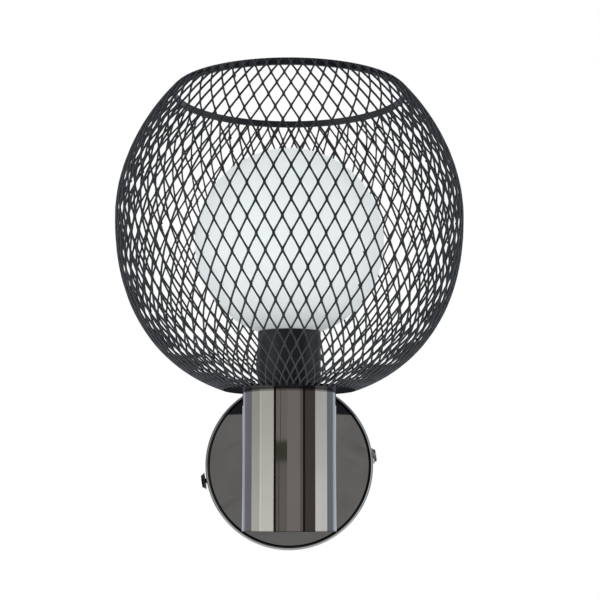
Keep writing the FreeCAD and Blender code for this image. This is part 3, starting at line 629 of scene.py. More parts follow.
FINISHES = (
    Plated("black_chrome", CHROME, 0.035, way=Grain.ALONG_Z, **POLISHED),
    # The dark rings given to canopy_chrome and column_chrome are painted reflection and shade: the canopy's
    # outer edge, and the column's top under the disc and its foot.
    Dished("canopy_chrome", (0.33, 0.34, 0.345), 0.045, way=Grain.ALONG_X, front=-21.0 * MM,
           painted_shade_bands=((57.1 * MM, 59.0 * MM, 0.93),), **POLISHED | {"drift": 0.06, "drift_size": 20.0 * MM}),
    Banded("column_chrome", CHROME, 0.035, way=Grain.ALONG_Z, front=1.0, **POLISHED, painted_shade_bands=(
        (43.3 * MM, 46.0 * MM, 0.5), (-46.0 * MM, -44.8 * MM, 0.6), (43.15 * MM, 43.4 * MM, 0.3))),
    Plated("disc_chrome", (0.04, 0.04, 0.047), 0.3, constants={"Specular Tint": (0.55, 0.55, 0.6, 1.0)},
           **POLISHED | {"drift": 0.05, "wear": 0.04}),
    Plated("black_steel", (0.03, 0.03, 0.034), 0.3, **MILLED),
    Plated("dark_steel", (0.16, 0.16, 0.165), 0.28, **MILLED),
    Plated("bright_steel", (0.42, 0.43, 0.44), 0.2,
           **MILLED | {"drift": 0.1, "drift_size": 4.0 * MM, "wear": 0.12}),
    Plated("brass", (0.78, 0.57, 0.25), 0.25,
           **MILLED | {"drift": 0.1, "drift_size": 8.0 * MM, "grain_size": 0.6 * MM}),
    Plated("cap_metal", (0.72, 0.72, 0.71), 0.25,
           **MILLED | {"drift": 0.06, "drift_size": 4.0 * MM, "grain_size": 0.5 * MM, "wear": 0.12}),
    Plated("solder", (0.66, 0.66, 0.65), 0.3, metal=1.0),
    Threaded("tube_thread", ZINC, 0.32, along=(0.0, 1.0, 0.0), **CUT),
    Threaded("nipple_thread", ZINC, 0.32, **CUT),
    Spangled("zinc_steel", ZINC, 0.32, metal=1.0),
    # The mesh's black paint is a little lighter than black_paint: painted sheen where the strands catch the
    # light. Its dust, grain and lower roughness are its own.
    Lacquered("mesh_paint_painted_sheen", (0.011, 0.0145, 0.0185), 0.38, drift=0.35, drift_size=4.0 * MM,
              grain=30.0 * MICRON, grain_size=0.4 * MM, wear=0.15),
    Lacquered("black_paint", (0.008, 0.0105, 0.0145), 0.42, drift=0.25, drift_size=20.0 * MM,
              grain_size=0.5 * MM, wear=0.12),
    Finish("black_plastic", (0.02, 0.02, 0.021), 0.42),
    Finish("black_nylon", (0.012, 0.012, 0.014), 0.38),
    Finish("white_ceramic", (0.78, 0.77, 0.74), 0.22, constants={"Coat Weight": 0.4}),
    Finish("block_plastic", (0.72, 0.71, 0.66), 0.4),
    Finish("live_insulation", (0.16, 0.055, 0.02), 0.45),
    Finish("neutral_insulation", (0.02, 0.10, 0.42), 0.45),
    Finish("earth_insulation", (0.10, 0.42, 0.05), 0.45),
    Finish("black_glass", (0.01, 0.01, 0.012), 0.1),
    # The opal glass's emission is painted light: the unlit globe glows faintly and evenly, in place of light
    # that passes through the glass.
    Finish("opal_glass", (0.74, 0.78, 0.767), 0.3, drift=0.012, drift_size=30.0 * MM, grain=10.0 * MICRON,
           grain_size=4.0 * MM, wear=0.05,
           constants={"Emission Color": (0.90, 0.95, 0.94, 1.0), "Emission Strength": 0.19}),
)

# Nodes whose finish isn't the one of their slot in the record.
OWN_FINISHES = {
    "canopy": "canopy_chrome", "column_tube": "column_chrome", "gallery_disc": "disc_chrome",
    "tie_tube": "tube_thread", "holder_nipple": "nipple_thread", "side_washer_right": "bright_steel",
}


class Paintbox:
    """Builds each finish once and dresses the nodes with it."""

    def __init__(self, finishes: Sequence[Finish]) -> None:
        """Build the materials of all the finishes."""
        self.materials = {finish.name: finish.material() for finish in finishes}

    def __getitem__(self, name: str) -> bpy.types.Material:
        """The material of a finish."""
        return self.materials[name]

    def dress_nodes(self, frame: Mapping[str, object]) -> None:
        """Give every node the finish of its slot in the record, or its own one.
        """
        for entry in frame["record"]["subparts"]:
            finish = OWN_FINISHES.get(entry["node"], entry["material_slot"])
            for slot in frame["nodes"][entry["node"]].material_slots:
                slot.material = self.materials[finish]


@dataclass
class Form:
    """A geometry tree with named inputs, which turns a start mesh into a finished one.

    Attributes:
        name: Name of the tree and of the piece that it makes.
        inputs: Value of each input, by name.
    """

    name: str
    inputs: Mapping[str, object]

    def begin(self) -> tuple[Graph, dict[str, Value]]:
        """Make the tree and its named inputs.

        Returns:
            The graph, and the group's inputs by name.
        """
        tree = bpy.data.node_groups.new(self.name, "GeometryNodeTree")
        tree.interface.new_socket("Geometry", in_out="INPUT", socket_type="NodeSocketGeometry")
        tree.interface.new_socket("Geometry", in_out="OUTPUT", socket_type="NodeSocketGeometry")
        for label, value in self.inputs.items():
            kind = {int: "Int", float: "Float", Vector: "Vector"}.get(type(value), "Material")
            tree.interface.new_socket(label, in_out="INPUT", socket_type=f"NodeSocket{kind}")
        graph = Graph(tree)
        source = graph.node("NodeGroupInput")
        return graph, {s.name: Value(graph, s) for s in source.outputs if s.name}

    def end(self, graph: Graph, geometry: Value, material: Value) -> None:
        """Close the tree with Realize Instances and Set Material.

        Args:
            graph: The tree.
            geometry: The finished geometry.
            material: The material's input.
        """
        real = graph.out("GeometryNodeRealizeInstances", None, {"Geometry": geometry})
        painted = graph.out("GeometryNodeSetMaterial", None, {"Geometry": real, "Material": material})
        graph.node("NodeGroupOutput", None, {0: painted})

    def apply(self, graph: Graph, start: bpy.types.Mesh) -> bpy.types.Object:
        """Run the tree on a start mesh and keep the result as a plain mesh.

        Args:
            graph: The finished tree.
            start: The mesh that the tree begins with.

        Returns:
            An object at the origin with the finished mesh.
        """
        piece = linked(self.name, start)
        modifier = piece.modifiers.new("Form", "NODES")
        modifier.node_group = graph.tree
        for item in graph.tree.interface.items_tree:
            if item.in_out == "INPUT" and item.name in self.inputs:
                modifier[item.identifier] = self.inputs[item.name]
        depsgraph = bpy.context.evaluated_depsgraph_get()
        plain = bpy.data.meshes.new_from_object(piece.evaluated_get(depsgraph), depsgraph=depsgraph)
        piece.modifiers.clear()
        piece.data = plain
        plain.name = self.name
        return piece


@dataclass
class CageMesh:
    """The cage's expanded mesh, from the gallery disc to the band round the mouth.

    Attributes:
        axis: Where the lamp's axis meets the level of the wall bracket's middle.
        radius: Middle radius of the mesh where it is widest.
        equator: Height of the widest ring.
        foot: Radius and height of the mesh's lower end.
        head: Radius and height of its upper end.
        upper_power: Fullness of the outline above the widest ring.
        lower_power: Fullness below it.
        columns: Diamonds round the cage.
        rows: Levels of knuckles.
        first_row: Way along the outline from the foot to the first level.
        pitch: Way along it between levels.
        strand: Width of a strand.
        knuckle: Width of a knuckle.
        thick: Thickness of the sheet.
        turn: How far the mesh is turned about its axis past half a diamond, in radians.
        bond: Half of a knuckle's length, as a share of the pitch.
        bond_lean: How far the strands part within a knuckle, as a share of an even lean.
        free_lean: How much further they lean outside it.
        narrowing: Way from a knuckle's middle to the full narrowing, as a share of the pitch.
        end_gap: Least way from a bend to the upper end.
        unevenness: Size of the strands' small shifts.
        ripple: How closely the shifts change, per metre.
        drop_size: Radius of a drop of paint.
        drop_sizes: Least and greatest size of a drop, as a share of that radius.
        drop_share: Share of the places in the knuckles that carry one.
        drop_reach: Way from a knuckle's middle to such a place, as a share of the pitch.
        drop_sink: How deep a drop sits inside the sheet, as a share of its radius.
        sides: Sides of a strand's section.
    """

    axis: Vector
    radius: float
    equator: float
    foot: tuple[float, float]
    head: tuple[float, float]
    upper_power: float = 1.82
    lower_power: float = 2.27
    columns: int = 68
    rows: int = 24
    first_row: float = 2.6 * MM
    pitch: float = 10.08 * MM
    strand: float = 1.15 * MM
    knuckle: float = 2.0 * MM
    thick: float = 1.35 * MM
    turn: float = 0.009
    bond: float = 0.09
    bond_lean: float = 0.6
    free_lean: float = 0.488
    narrowing: float = 0.14
    end_gap: float = 0.2 * MM
    unevenness: float = 0.25 * MM
    ripple: float = 90.0
    drop_size: float = 1.35 * MM
    drop_sizes: Span = (0.6, 1.1)
    drop_share: float = 0.03
    drop_reach: float = 0.03
    drop_sink: float = 0.45
    sides: int = 6

    def outline(self, height: float) -> float:
        """Radius of the mesh at a height above its widest ring.

        Args:
            height: Height above the widest ring.

        Returns:
            The radius there.
        """
        end_radius, end_height = self.head if height > 0 else self.foot
        power = self.upper_power if height > 0 else self.lower_power
        fall = 1 - (end_radius / self.radius) ** power
        share = (height / (end_height - self.equator)) ** power
        return self.radius * (1 - fall * share) ** (1 / power)

    def walk(self, steps: int = 4000) -> list[tuple[float, float, float]]:
        """Follow the outline from foot to head.

        Args:
            steps: Number of short steps.

        Returns:
            Way, radius and height at each step.
        """
        low, high = self.foot[1] - self.equator, self.head[1] - self.equator
        points = []
        way = 0.0
        for step in range(steps + 1):
            height = low + (high - low) * step / steps
            radius = self.outline(height)
            if points:
                way += math.hypot(radius - points[-1][1], height + self.equator - points[-1][2])
            points.append((way, radius, height + self.equator))
        return points

    def start(self) -> bpy.types.Mesh:
        """The outline as a line of points, each with its place in rows.

        Returns:
            A mesh of edges with a "row" value on each point.
        """
        path = self.walk()
        length = path[-1][0]
        shares = (-self.bond, 0.0, self.bond, 0.5)
        ways = [self.first_row + (row + share) * self.pitch for row in range(self.rows) for share in shares]
        wanted = [0.0] + [way for way in ways if 0.0 <= way < length - self.end_gap] + [length]
        places = []
        index = 0
        for way in wanted:
            while index < len(path) - 1 and path[index][0] < way:
                index += 1
            places.append((path[index][1], 0.0, path[index][2]))
        mesh = bpy.data.meshes.new("cage_outline")
        mesh.from_pydata(places, [(i, i + 1) for i in range(len(places) - 1)], [])
        rows = mesh.attributes.new("row", "FLOAT", "POINT")
        rows.data.foreach_set("value", [(way - self.first_row) / self.pitch for way in wanted])
        return mesh

    def build(self, paints: Paintbox) -> bpy.types.Object:
        """Weave the mesh and put it in the place of its node.

        Args:
            paints: The finishes.

        Returns:
            The finished piece.
        """
        form = Form("cage_mesh_fine", {
            "Columns": self.columns, "Strand Width": self.strand, "Knuckle Width": self.knuckle,
            "Thickness": self.thick, "Phase": math.pi / self.columns + self.turn, "Axis": self.axis,
            "Unevenness": self.unevenness, "Seed": 3.0, "Drop Size": self.drop_size,
            "Drop Share": self.drop_share, "Drop Seed": 7, "Drop Size Seed": 11,
            "Paint": paints["mesh_paint_painted_sheen"]})
        graph, given = form.begin()
        strands = self.strands(graph, given)
        woven = self.swept(graph, given, *strands)
        form.end(graph, graph.merged(woven, self.drops(graph, given, *strands[:2])), given["Paint"])
        piece = form.apply(graph, self.start())
        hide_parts("cage_mesh")
        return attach(piece, "fixture")

    def off_knuckle(self, graph: Graph) -> tuple[Value, Value]:
        """Find the nearest knuckle of each point.

        Args:
            graph: The tree.

        Returns:
            The knuckle's level, and the way from it to the point, both in rows.
        """
        row = graph.out("GeometryNodeInputNamedAttribute", {"data_type": "FLOAT"}, {"Name": "row"})
        nearest = row.maths("ROUND")
        return nearest, row - nearest

    def strands(self, graph: Graph, given: Mapping[str, Value]) -> tuple[Value, Value, Value]:
        """Lay the strands' centre lines, half of them leaning each way.

        Args:
            graph: The tree.
            given: The tree's inputs.

        Returns:
            The lines, the outward direction at each point and the width there.
        """
        line = graph.out("GeometryNodeMeshToCurve", None, {"Mesh": given["Geometry"]})
        copies = graph.node("GeometryNodeDuplicateElements", {"domain": "SPLINE"},
                            {"Geometry": line, "Amount": given["Columns"] * 2})
        index = Value(graph, copies.outputs["Duplicate Index"])
        leaning = 1 - (index % 2) * 2
        column = (index / 2).maths("FLOOR")
        nearest, off = self.off_knuckle(graph)
        apart = off.maths("ABSOLUTE")
        parted = apart * self.bond_lean + (apart - self.bond).most(0.0) * self.free_lean
        turned = nearest + off.maths("SIGN") * parted
        half = math.pi / given["Columns"]
        angle = given["Phase"] + (column * 2 + leaning * turned) * half
        cosine, sine = angle.maths("COSINE"), angle.maths("SINE")
        narrowed = apart.step(0.0, self.narrowing)
        width = given["Knuckle Width"] + (given["Strand Width"] - given["Knuckle Width"]) * narrowed
        along_x, _, along_z = graph.parts(graph.out("GeometryNodeInputTangent"))
        outward = graph.joined(along_z * cosine, along_z * sine, -along_x)
        labels = (("Outward", "VECTOR"), ("Width", "FLOAT"), ("Cosine", "FLOAT"), ("Sine", "FLOAT"))
        kept = graph.node("GeometryNodeCaptureAttribute", {"captures": labels}, {
            "Geometry": copies.outputs[0],
            "Outward": outward, "Width": width, "Cosine": cosine, "Sine": sine})
        out, wide, cosine, sine = (Value(graph, kept.outputs[label]) for label, _ in labels)
        radius, _, height = graph.parts(graph.out("GeometryNodeInputPosition"))
        place = graph.joined(radius * cosine, radius * sine, height)
        uneven = graph.out("ShaderNodeTexNoise", {"noise_dimensions": "4D"}, {
            "Vector": place, "W": given["Seed"], "Scale": self.ripple}, "Color")
        shift = graph.vector("SCALE", graph.vector("SUBTRACT", uneven, (0.5, 0.5, 0.5)), given["Unevenness"])
        spot = graph.vector("ADD", graph.vector("ADD", place, shift), given["Axis"])
        lines = graph.out("GeometryNodeSetPosition", None, {
            "Geometry": kept.outputs["Geometry"], "Position": spot})
        return lines, out, wide

    def drops(self, graph: Graph, given: Mapping[str, Value], lines: Value, outward: Value) -> Value:
        """Leave drops of paint on a few of the knuckles.

        Args:
            graph: The tree.
            given: The tree's inputs.
            lines: Centre lines of the strands.
            outward: Outward direction on them.

        Returns:
            The drops' geometry.
        """
        _, off = self.off_knuckle(graph)
        near = off.maths("ABSOLUTE").maths("LESS_THAN", self.drop_reach)
        chance = self.random(graph, given["Drop Seed"])
        wanted = near * chance.maths("LESS_THAN", given["Drop Share"])
        drop = graph.out("GeometryNodeMeshIcoSphere", None, {"Radius": given["Drop Size"], "Subdivisions": 2})
        size = self.random(graph, given["Drop Size Seed"], self.drop_sizes)
        drops = graph.out("GeometryNodeInstanceOnPoints", None, {
            "Points": lines, "Selection": wanted, "Instance": drop, "Scale": graph.joined(size, size, size)})
        inward = graph.vector("SCALE", outward, given["Drop Size"] * -self.drop_sink)
        return graph.out("GeometryNodeTranslateInstances", None, {
            "Instances": drops, "Translation": inward, "Local Space": False})

    @staticmethod
    def random(graph: Graph, seed: Value, span: Span = (0.0, 1.0)) -> Value:
        """A random number in a span at each point."""
        # The Random Value node's inputs 2 and 3 and its output 1 are its plain numbers.
        sockets = {2: span[0], 3: span[1], "Seed": seed}
        return graph.out("FunctionNodeRandomValue", {"data_type": "FLOAT"}, sockets, 1)

    def swept(self, graph: Graph, given: Mapping[str, Value], lines: Value, outward: Value,
              width: Value) -> Value:
        """Give the lines their width and the sheet's thickness.

        Args:
            graph: The tree.
            given: The tree's inputs.
            lines: Centre lines of the strands.
            outward: Outward direction on them.
            width: Width of the strand on them.

        Returns:
            The mesh's geometry.
        """
        kept = graph.node("GeometryNodeCaptureAttribute", {"captures": (("Centre", "VECTOR"),)},
                          {"Geometry": lines, "Centre": graph.out("GeometryNodeInputPosition")})
        section = graph.out("GeometryNodeCurvePrimitiveCircle", None, {
            "Resolution": self.sides, "Radius": 1.0})
        tube = graph.out("GeometryNodeCurveToMesh", None, {
            "Curve": kept.outputs["Geometry"], "Profile Curve": section, "Scale": width * 0.5,
            "Fill Caps": True})
        centre = Value(graph, kept.outputs["Centre"])
        away = graph.vector("SUBTRACT", graph.out("GeometryNodeInputPosition"), centre)
        lift = graph.vector("DOT_PRODUCT", away, outward, output=1)
        change = graph.vector("SCALE", outward, lift * (given["Thickness"] / width - 1))
        flat = graph.out("GeometryNodeSetPosition", None, {"Geometry": tube, "Offset": change})
        return graph.out("GeometryNodeSetShadeSmooth", None, {"Geometry": flat})


@dataclass
class ThumbScrew:
    """A thumb screw with a knurled, tapered head and a cut thread, in the place of its plain node.

    Attributes:
        side: "left" or "right".
        sign: -1 on the left and 1 on the right.
        finish: Name of its finish.
        tilt: Slope of the line through both screws, in radians.
        drop: How far that line runs below the canopy's middle.
        depth: Distance from the wall.
        head_radius: Radius of the head where it is widest.
        head_end_radius: Radius of its outer face.
        head_length: Length of the head.
        ribs: Ribs round the head.
        rib_depth: Depth of the grooves between them, as a share of the head's radius.
        rib_points: Points of the head's ring for each rib.
        length: Length of the thread.
        thread_radius: Radius over the thread's ridge.
        core_radius: Radius of the core.
        pitch: Distance between the ridge's turns.
        core_sides: Sides of the core.
        ridge_sides: Sides of the ridge's section.
        turn_points: Points of one turn of the ridge.
    """

    side: str
    sign: int
    finish: str
    tilt: float = math.radians(8.5)
    drop: float = 1.9 * MM
    depth: float = 12.0 * MM
    head_radius: float = 5.2 * MM
    head_end_radius: float = 4.3 * MM
    head_length: float = 1.8 * MM
    ribs: int = 40
    rib_depth: float = 0.07
    rib_points: int = 4
    length: float = 11.49 * MM
    thread_radius: float = 2.0 * MM
    core_radius: float = 1.62 * MM
    pitch: float = 0.7 * MM
    core_sides: int = 24
    ridge_sides: int = 6
    turn_points: int = 20

    def end(self) -> float:
        """Measure from the canopy's middle to the head's outer face, along the screw.

        Returns:
            The distance, which the box of the screw's node gives.
        """
        low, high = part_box(f"side_screw_{self.side}")
        reach = max(abs(low.x), abs(high.x))
        aside = self.sign * self.drop * math.sin(self.tilt)
        return (reach - self.head_radius * math.sin(self.tilt) - aside) / math.cos(self.tilt)

    def build(self, paints: Paintbox) -> bpy.types.Object:
        """Turn the screw and put it in the place of its node.

        Args:
            paints: The finishes.

        Returns:
            The finished piece.
        """
        form = Form(f"thumb_screw_{self.side}_fine", {
            "Head Radius": self.head_radius, "Head End Radius": self.head_end_radius,
            "Head Length": self.head_length, "Head Start": self.end() - self.head_length,
            "Ribs": self.ribs, "Rib Depth": self.rib_depth, "Pitch": self.pitch, "Thread Length": self.length,
            "Thread Radius": self.thread_radius, "Core Radius": self.core_radius,
            "Paint": paints[self.finish]})
        graph, given = form.begin()
        screw = graph.merged(self.head(graph, given), *self.shank(graph, given))
        turn = self.sign * math.pi / 2 - self.tilt
        foot = (self.drop * math.sin(self.tilt), -self.depth, -self.drop * math.cos(self.tilt))
        placed = graph.out("GeometryNodeTransform", None, {
            "Geometry": screw, "Translation": foot, "Rotation": (0.0, turn, 0.0)})
        form.end(graph, placed, given["Paint"])
        piece = form.apply(graph, bpy.data.meshes.new("thumb_screw_start"))
        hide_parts(f"side_screw_{self.side}")
        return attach(piece, f"{self.side}_thumb_screw")

    def head(self, graph: Graph, given: Mapping[str, Value]) -> Value:
        """Make the head: a short cone with ribs all round.

        Args:
            graph: The tree.
            given: The tree's inputs.

        Returns:
            The head's geometry.
        """
        cone = graph.out("GeometryNodeMeshCone", {"fill_type": "NGON"}, {
            "Vertices": given["Ribs"] * self.rib_points, "Side Segments": 2, "Depth": given["Head Length"],
            "Radius Top": given["Head End Radius"], "Radius Bottom": given["Head Radius"]})
        x, y, _ = graph.parts(graph.out("GeometryNodeInputPosition"))
        share = y.maths("ARCTAN2", x) / math.tau * given["Ribs"]
        groove = (share % 1.0 - 0.5).maths("ABSOLUTE") * -2.0 * given["Rib Depth"]
        pull = graph.joined(x * groove, y * groove, 0.0)
        ribbed = graph.out("GeometryNodeSetPosition", None, {"Geometry": cone, "Offset": pull})
        return self.raised(graph, ribbed, given["Head Start"])

    @staticmethod
    def raised(graph: Graph, geometry: Value, level: Value) -> Value:
        """A geometry moved along the screw."""
        place = graph.joined(0.0, 0.0, level)
        return graph.out("GeometryNodeTransform", None, {"Geometry": geometry, "Translation": place})

    def shank(self, graph: Graph, given: Mapping[str, Value]) -> tuple[Value, Value]:
        """Make the core and the thread's ridge on it.

        Args:
            graph: The tree.
            given: The tree's inputs.

        Returns:
            The geometry of the core and of the ridge.
        """
        start = given["Head Start"] - given["Thread Length"]
        core = graph.out("GeometryNodeMeshCylinder", None, {
            "Vertices": self.core_sides, "Radius": given["Core Radius"], "Depth": given["Thread Length"]})
        ridge = (given["Thread Radius"] - given["Core Radius"]) * 0.5
        run = given["Thread Length"] - given["Pitch"]
        middle = given["Core Radius"] + ridge
        coil = graph.out("GeometryNodeCurveSpiral", None, {
            "Resolution": self.turn_points, "Rotations": run / given["Pitch"], "Start Radius": middle,
            "End Radius": middle, "Height": run})
        section = graph.out("GeometryNodeCurvePrimitiveCircle", None, {
            "Resolution": self.ridge_sides, "Radius": ridge})
        thread = graph.out("GeometryNodeCurveToMesh", None, {
            "Curve": coil, "Profile Curve": section, "Fill Caps": True})
        return (self.raised(graph, core, start + given["Thread Length"] * 0.5),
                self.raised(graph, thread, start + given["Pitch"] * 0.5))


@dataclass
class Light:
    """A soft lamp aimed at the middle of the object.

    Attributes:
        name: Name of the lamp.
        place: Where it hangs.
        side: How wide it is.
        watts: How strong it is.
    """

    name: str
    place: Vector
    side: float
    watts: float

    def build(self, aim: Vector) -> None:
        """Hang the lamp.

        Args:
            aim: Point that it faces.
        """
        data = bpy.data.lights.new(self.name, "AREA")
        data.shape = "DISK"
        data.size = self.side
        data.energy = self.watts
        lamp = linked(self.name, data)
        lamp.location = self.place
        lamp.rotation_euler = (aim - self.place).to_track_quat("-Z", "Y").to_euler()
        lamp.visible_glossy = False


@dataclass(frozen=True)
class Card:
    """An upright curved card round the object, seen only in its reflections. Lengths are in metres.

    Attributes:
        name: Name of the card.
        start: Direction of one edge, in degrees to the right of the camera.
        stop: Direction of the other edge.
        colour: How bright the card is.
        reach: Distance from the lamp's axis.
        low: Height of the lower edge.
        high: Height of the upper edge.
        top: How bright its upper part is, as a share of the lower part.
        facet: Width of its flat strips, in degrees.
    """

    name: str
    start: float
    stop: float
    colour: Colour
    reach: float = 2.0
    low: float = -1.2
    high: float = 1.6
    top: float = 1.0
    facet: float = 4.0

    def build(self, axis: Vector) -> None:
        """Stand the card up.

        Args:
            axis: The lamp's axis.
        """
        count = max(2, int(abs(self.stop - self.start) / self.facet))
        points = []
        for step in range(count + 1):
            turn = math.radians(self.start + (self.stop - self.start) * step / count)
            x, y = axis.x + self.reach * math.sin(turn), axis.y - self.reach * math.cos(turn)
            points += [(x, y, self.low), (x, y, self.high)]
        faces = [(2 * i, 2 * i + 2, 2 * i + 3, 2 * i + 1) for i in range(count)]
        hang_card(self.name, points, faces, self.colour, self.top)


@dataclass(frozen=True)
class Ceiling:
    """A level round card above the object, seen only in its reflections. Lengths are in metres.

    Attributes:
        name: Name of the card.
        colour: How bright the card is.
        reach: Its radius.
        level: Its height.
        sides: Sides of its outline.
    """

    name: str = "card_ceiling"
    colour: Colour = (0.32, 0.33, 0.35)
    reach: float = 2.2
    level: float = 1.5
    sides: int = 48

    def build(self, axis: Vector) -> None:
        """Hang the card.

        Args:
            axis: The lamp's axis.
        """
        turns = [math.tau * step / self.sides for step in range(self.sides)]
        points = [(axis.x + self.reach * math.cos(turn), axis.y + self.reach * math.sin(turn), self.level)
                  for turn in turns]
        hang_card(self.name, points, [tuple(range(self.sides))], self.colour)


def flat_mesh(name: str, points: Sequence[Sequence[float]], faces: Sequence[Sequence[int]],
              material: bpy.types.Material) -> bpy.types.Object:
    """Put a plain mesh on the stage.

    Args:
        name: Name of the object.
        points: Its corners.
        faces: Corners of each face.
        material: What it is made of.

    Returns:
        The object.
    """
    mesh = bpy.data.meshes.new(name)
    mesh.from_pydata(points, [], faces)
    mesh.materials.append(material)
    made = linked(name, mesh)
    return made


def hang_card(name: str, points: Sequence[Sequence[float]], faces: Sequence[Sequence[int]], colour: Colour,
              top: float = 1.0) -> None:
    """Put a glowing card where only reflections see it.

    Args:
        name: Name of the card.
        points: Its corners.
        faces: Corners of each face.
        colour: How bright it is.
        top: How bright its upper part is, as a share of the lower part.
    """
    made, graph = empty_material(name)
    _, _, height = graph.parts(graph.out("ShaderNodeTexCoord", output="Object"))
    upper = tuple(c * top for c in colour)
    shade = graph.mixed(height.step(*CARD_SHADING), full(colour), full(upper))
    glow = graph.out("ShaderNodeEmission", None, {"Color": shade, "Strength": 1.0})
    graph.node("ShaderNodeOutputMaterial", None, {"Surface": glow})
    card = flat_mesh(name, points, faces, made)
    card.visible_camera = False
    card.visible_diffuse = False
    card.visible_shadow = False
    card.visible_transmission = False


@dataclass
class Studio:
    """The plain pale studio: floor, surroundings, lamps, cards and camera. Lengths are in metres.

    Attributes:
        axis: Where the lamp's axis meets the level of the wall bracket's middle.
        aim_height: Height of the point that the lamps face.
        floor_level: Height of the floor.
        floor_reach: How far it goes each way.
        floor_glow: How white the floor looks to the camera, and in reflections.
        surround: How strong the soft light from all round is.
        camera_lens: Focal length in pixels of the photograph, solved from it.
        camera_place: Where the camera stands, solved from the photograph.
        camera_tilt: How far it looks up, in degrees.
        camera_turn: How far it is turned to the left, in degrees.
        camera_range: How far it sees.
    """

    axis: Vector
    aim_height: float = 0.1
    floor_level: float = -1.0
    floor_reach: float = 6.0
    floor_glow: float = 0.8
    surround: float = 0.95
    camera_lens: float = 1485.3
    camera_place: Vector = field(default_factory=lambda: Vector((0.0, -1.0986, -0.0308)))
    camera_tilt: float = 7.99
    camera_turn: float = -0.413
    camera_range: float = 50.0

    def build(self) -> None:
        """Set up everything that isn't the object."""
        self.world()
        self.floor()
        aim = self.axis + Vector((0.0, 0.0, self.aim_height))
        for light in self.lights():
            light.build(aim)
        for card in self.cards():
            card.build(self.axis)
        self.camera()
        bpy.context.scene.view_settings.view_transform = "Standard"

    def lights(self) -> tuple[Light, ...]:
        """List the soft lamps.

        Returns:
            The lamps, placed round the axis.
        """
        return (
            Light("key_lamp", self.axis + Vector((-2.0, -1.1, 0.4)), 1.4, 4.5),
            Light("fill_lamp", self.axis + Vector((1.6, -1.4, 0.4)), 1.4, 3.5),
            Light("low_lamp", self.axis + Vector((-0.2, -1.4, -0.42)), 0.9, 6.0),
            Light("rear_lamp", self.axis + Vector((0.3, 1.8, 1.0)), 1.2, 4.0),
        )

    def cards(self) -> tuple[Card | Ceiling, ...]:
        """List the cards that the plating mirrors.

        Returns:
            The cards round the object from left to right, with the flags in front of them, then the dark one
            under the cage and the ceiling.
        """
        return (
            Card("card_rear_left", -180, -139, (0.60, 0.61, 0.74)),
            Card("card_far_left", -139, -104, (0.295, 0.30, 0.335)),
            Card("card_soft_left", -104, -76, (0.90, 0.91, 0.835), top=0.70),
            Card("card_soft_left_edge", -76, -72, (1.40, 1.39, 1.28), top=0.74),
            Card("card_soft_left_inner", -72, -38, (1.18, 1.18, 1.10), top=0.74),
            Card("card_gap_left", -38, -32, (0.02, 0.02, 0.018), low=-0.5),
            Card("card_left_upper", -32, -5, (0.31, 0.29, 0.26), low=0.1, high=0.6),
            Card("card_left_spot", -32, -5, (0.085, 0.08, 0.062), low=0.06, high=0.1),
            Card("card_left_lower", -32, -5, (0.25, 0.23, 0.205), low=-0.125, high=0.06),
            Card("card_left_streak", -27, -23.5, (0.15, 0.135, 0.12), reach=1.97, low=-0.125, high=0.06),
            Card("card_left_line", -22, -20, (0.16, 0.145, 0.12), reach=1.96, low=0.1, high=0.3),
            Card("card_camera", -5, 26, (0.35, 0.325, 0.31), low=-0.125, high=0.6),
            Card("card_camera_right", 26, 33, (0.225, 0.205, 0.19), low=-0.125, high=0.6),
            Card("card_below_camera", -32, 33, (0.17, 0.175, 0.19), low=-0.45, high=-0.125),
            Card("card_gap_right", 33, 39, (0.03, 0.025, 0.022), low=-0.5),
            Card("card_flag_low", -37, 38, (0.02, 0.02, 0.022), reach=0.53, low=-0.5, high=-0.11),
            Card("card_flag_high", -37, 38, (0.02, 0.02, 0.022), reach=0.53, low=0.17, high=0.6),
            Card("card_dark_right", 39, 66, (0.115, 0.095, 0.09)),
            Card("card_soft_right", 66, 84, (1.21, 1.225, 1.16), top=0.70),
            Card("card_soft_right_outer", 84, 105, (1.14, 1.17, 1.15), top=0.75),
            Card("card_far_right", 105, 135, (0.30, 0.315, 0.355)),
            Card("card_rear_right", 135, 180, (0.64, 0.67, 0.79)),
            # The dark card under the cage is a painted reflection of shade: the canopy's face mirrors it as
            # the dark space beneath the cage.
            Card("card_under_cage_painted_shade", 131, 229, (0.03, 0.03, 0.035), reach=0.07, low=0.0393, high=0.064),
            Ceiling(),
        )

    def world(self) -> None:
        """Pale surroundings, plain white where they are seen or mirrored."""
        world = bpy.data.worlds.new("studio")
        bpy.context.scene.world = world
        world.use_nodes = True
        world.node_tree.nodes.clear()
        graph = Graph(world.node_tree)
        soft = graph.out("ShaderNodeBackground", None, {"Color": full(COOL_WHITE), "Strength": self.surround})
        white = graph.out("ShaderNodeBackground", None, {"Color": full(WHITE), "Strength": 1.0})
        mixed = graph.out("ShaderNodeMixShader", None, {0: self.seen(graph), 1: soft, 2: white})
        graph.node("ShaderNodeOutputWorld", None, {"Surface": mixed})

    @staticmethod
    def seen(graph: Graph) -> Value:
        """Tell rays that show a surface from diffuse light.

        Args:
            graph: The graph of a material or of the world.

        Returns:
            1 for what the camera, a mirror or clear glass shows, and 0 for diffuse light.
        """
        path = graph.node("ShaderNodeLightPath")
        camera, glossy, clear = (Value(graph, path.outputs[f"Is {kind} Ray"])
                                 for kind in ("Camera", "Glossy", "Transmission"))
        return camera.most(glossy).most(clear)

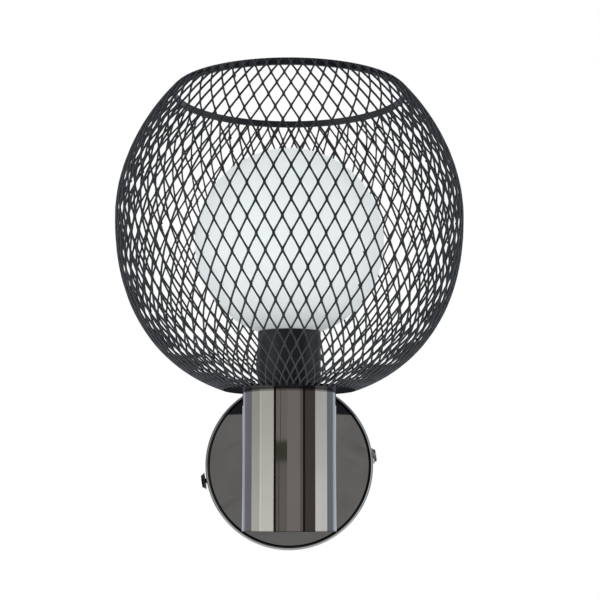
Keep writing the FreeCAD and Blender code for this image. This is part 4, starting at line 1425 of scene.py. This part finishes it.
    def floor(self) -> None:
        """A plain pale floor below the object, which keeps its shadow."""
        reach, level = self.floor_reach, self.floor_level
        made, graph = empty_material("floor_white")
        matt = graph.out("ShaderNodeBsdfDiffuse", None, {"Color": full(PALE_GREY)})
        white = graph.out("ShaderNodeEmission", None, {"Color": full(WHITE), "Strength": 1.0})
        share = self.seen(graph) * self.floor_glow
        mixed = graph.out("ShaderNodeMixShader", None, {0: share, 1: matt, 2: white})
        graph.node("ShaderNodeOutputMaterial", None, {"Surface": mixed})
        points = [(x * reach, y * reach, level) for x, y in ((-1, -1), (1, -1), (1, 1), (-1, 1))]
        flat_mesh("floor", points, [(0, 1, 2, 3)], made)

    def camera(self) -> None:
        """The camera, low in front and tilted up."""
        data = bpy.data.cameras.new("camera")
        data.sensor_width = SENSOR
        data.lens = self.camera_lens * SENSOR / IMAGE_SIDE
        data.clip_end = self.camera_range
        camera = linked("camera", data)
        camera.location = self.camera_place
        camera.rotation_euler = (math.radians(90 + self.camera_tilt), 0.0, math.radians(self.camera_turn))
        bpy.context.scene.camera = camera


@dataclass
class WallLight:
    """The whole light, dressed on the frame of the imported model.

    Attributes:
        cage_radius: Middle radius of the cage's mesh where it is widest.
        cage_rise: Height of its widest ring above the gallery disc.
        foot_gap: How far outside the disc's edge its lower end is.
        head_gap: How far outside the band its upper end is.
        head_drop: How far below the band's top its upper end is.
    """

    frame: Mapping[str, object]
    cage_radius: float = 114.35 * MM
    cage_rise: float = 114.8 * MM
    foot_gap: float = 0.25 * MM
    head_gap: float = 0.35 * MM
    head_drop: float = 1.0 * MM

    def axis(self) -> Vector:
        """Where the lamp's axis meets the level of the bracket's middle."""
        low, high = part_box("gallery_disc")
        return Vector(((low.x + high.x) / 2, (low.y + high.y) / 2, 0.0))

    def cage(self) -> CageMesh:
        """Fit the mesh between the disc and the band.

        Returns:
            The cage's description in the frame.
        """
        disc_low, disc_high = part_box("gallery_disc")
        ring_low, ring_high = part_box("cage_rim_ring")
        disc_radius = (disc_high.x - disc_low.x) / 2
        ring_radius = (ring_high.x - ring_low.x) / 2
        return CageMesh(
            axis=self.axis(),
            radius=self.cage_radius,
            equator=disc_high.z + self.cage_rise,
            foot=(disc_radius + self.foot_gap, (disc_low.z + disc_high.z) / 2),
            head=(ring_radius + self.head_gap, ring_high.z - self.head_drop),
        )

    def build(self) -> None:
        """Dress the nodes and build the fine pieces."""
        paints = Paintbox(FINISHES)
        paints.dress_nodes(self.frame)
        LOG.info("dressed %d nodes", len(self.frame["nodes"]))
        makers = (self.cage(), ThumbScrew("left", -1, "black_steel"), ThumbScrew("right", 1, "bright_steel"))
        for maker in makers:
            piece = maker.build(paints)
            LOG.info("%s: %d faces", piece.name, len(piece.data.polygons))


def main(frame: Mapping[str, object]) -> None:
    """Build the studio and the light.
    """
    logging.basicConfig(level=logging.INFO, format="%(message)s")
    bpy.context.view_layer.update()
    light = WallLight(frame)
    Studio(light.axis()).build()
    light.build()
    bpy.context.view_layer.update()


if __name__ == "__main__":
    main(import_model())
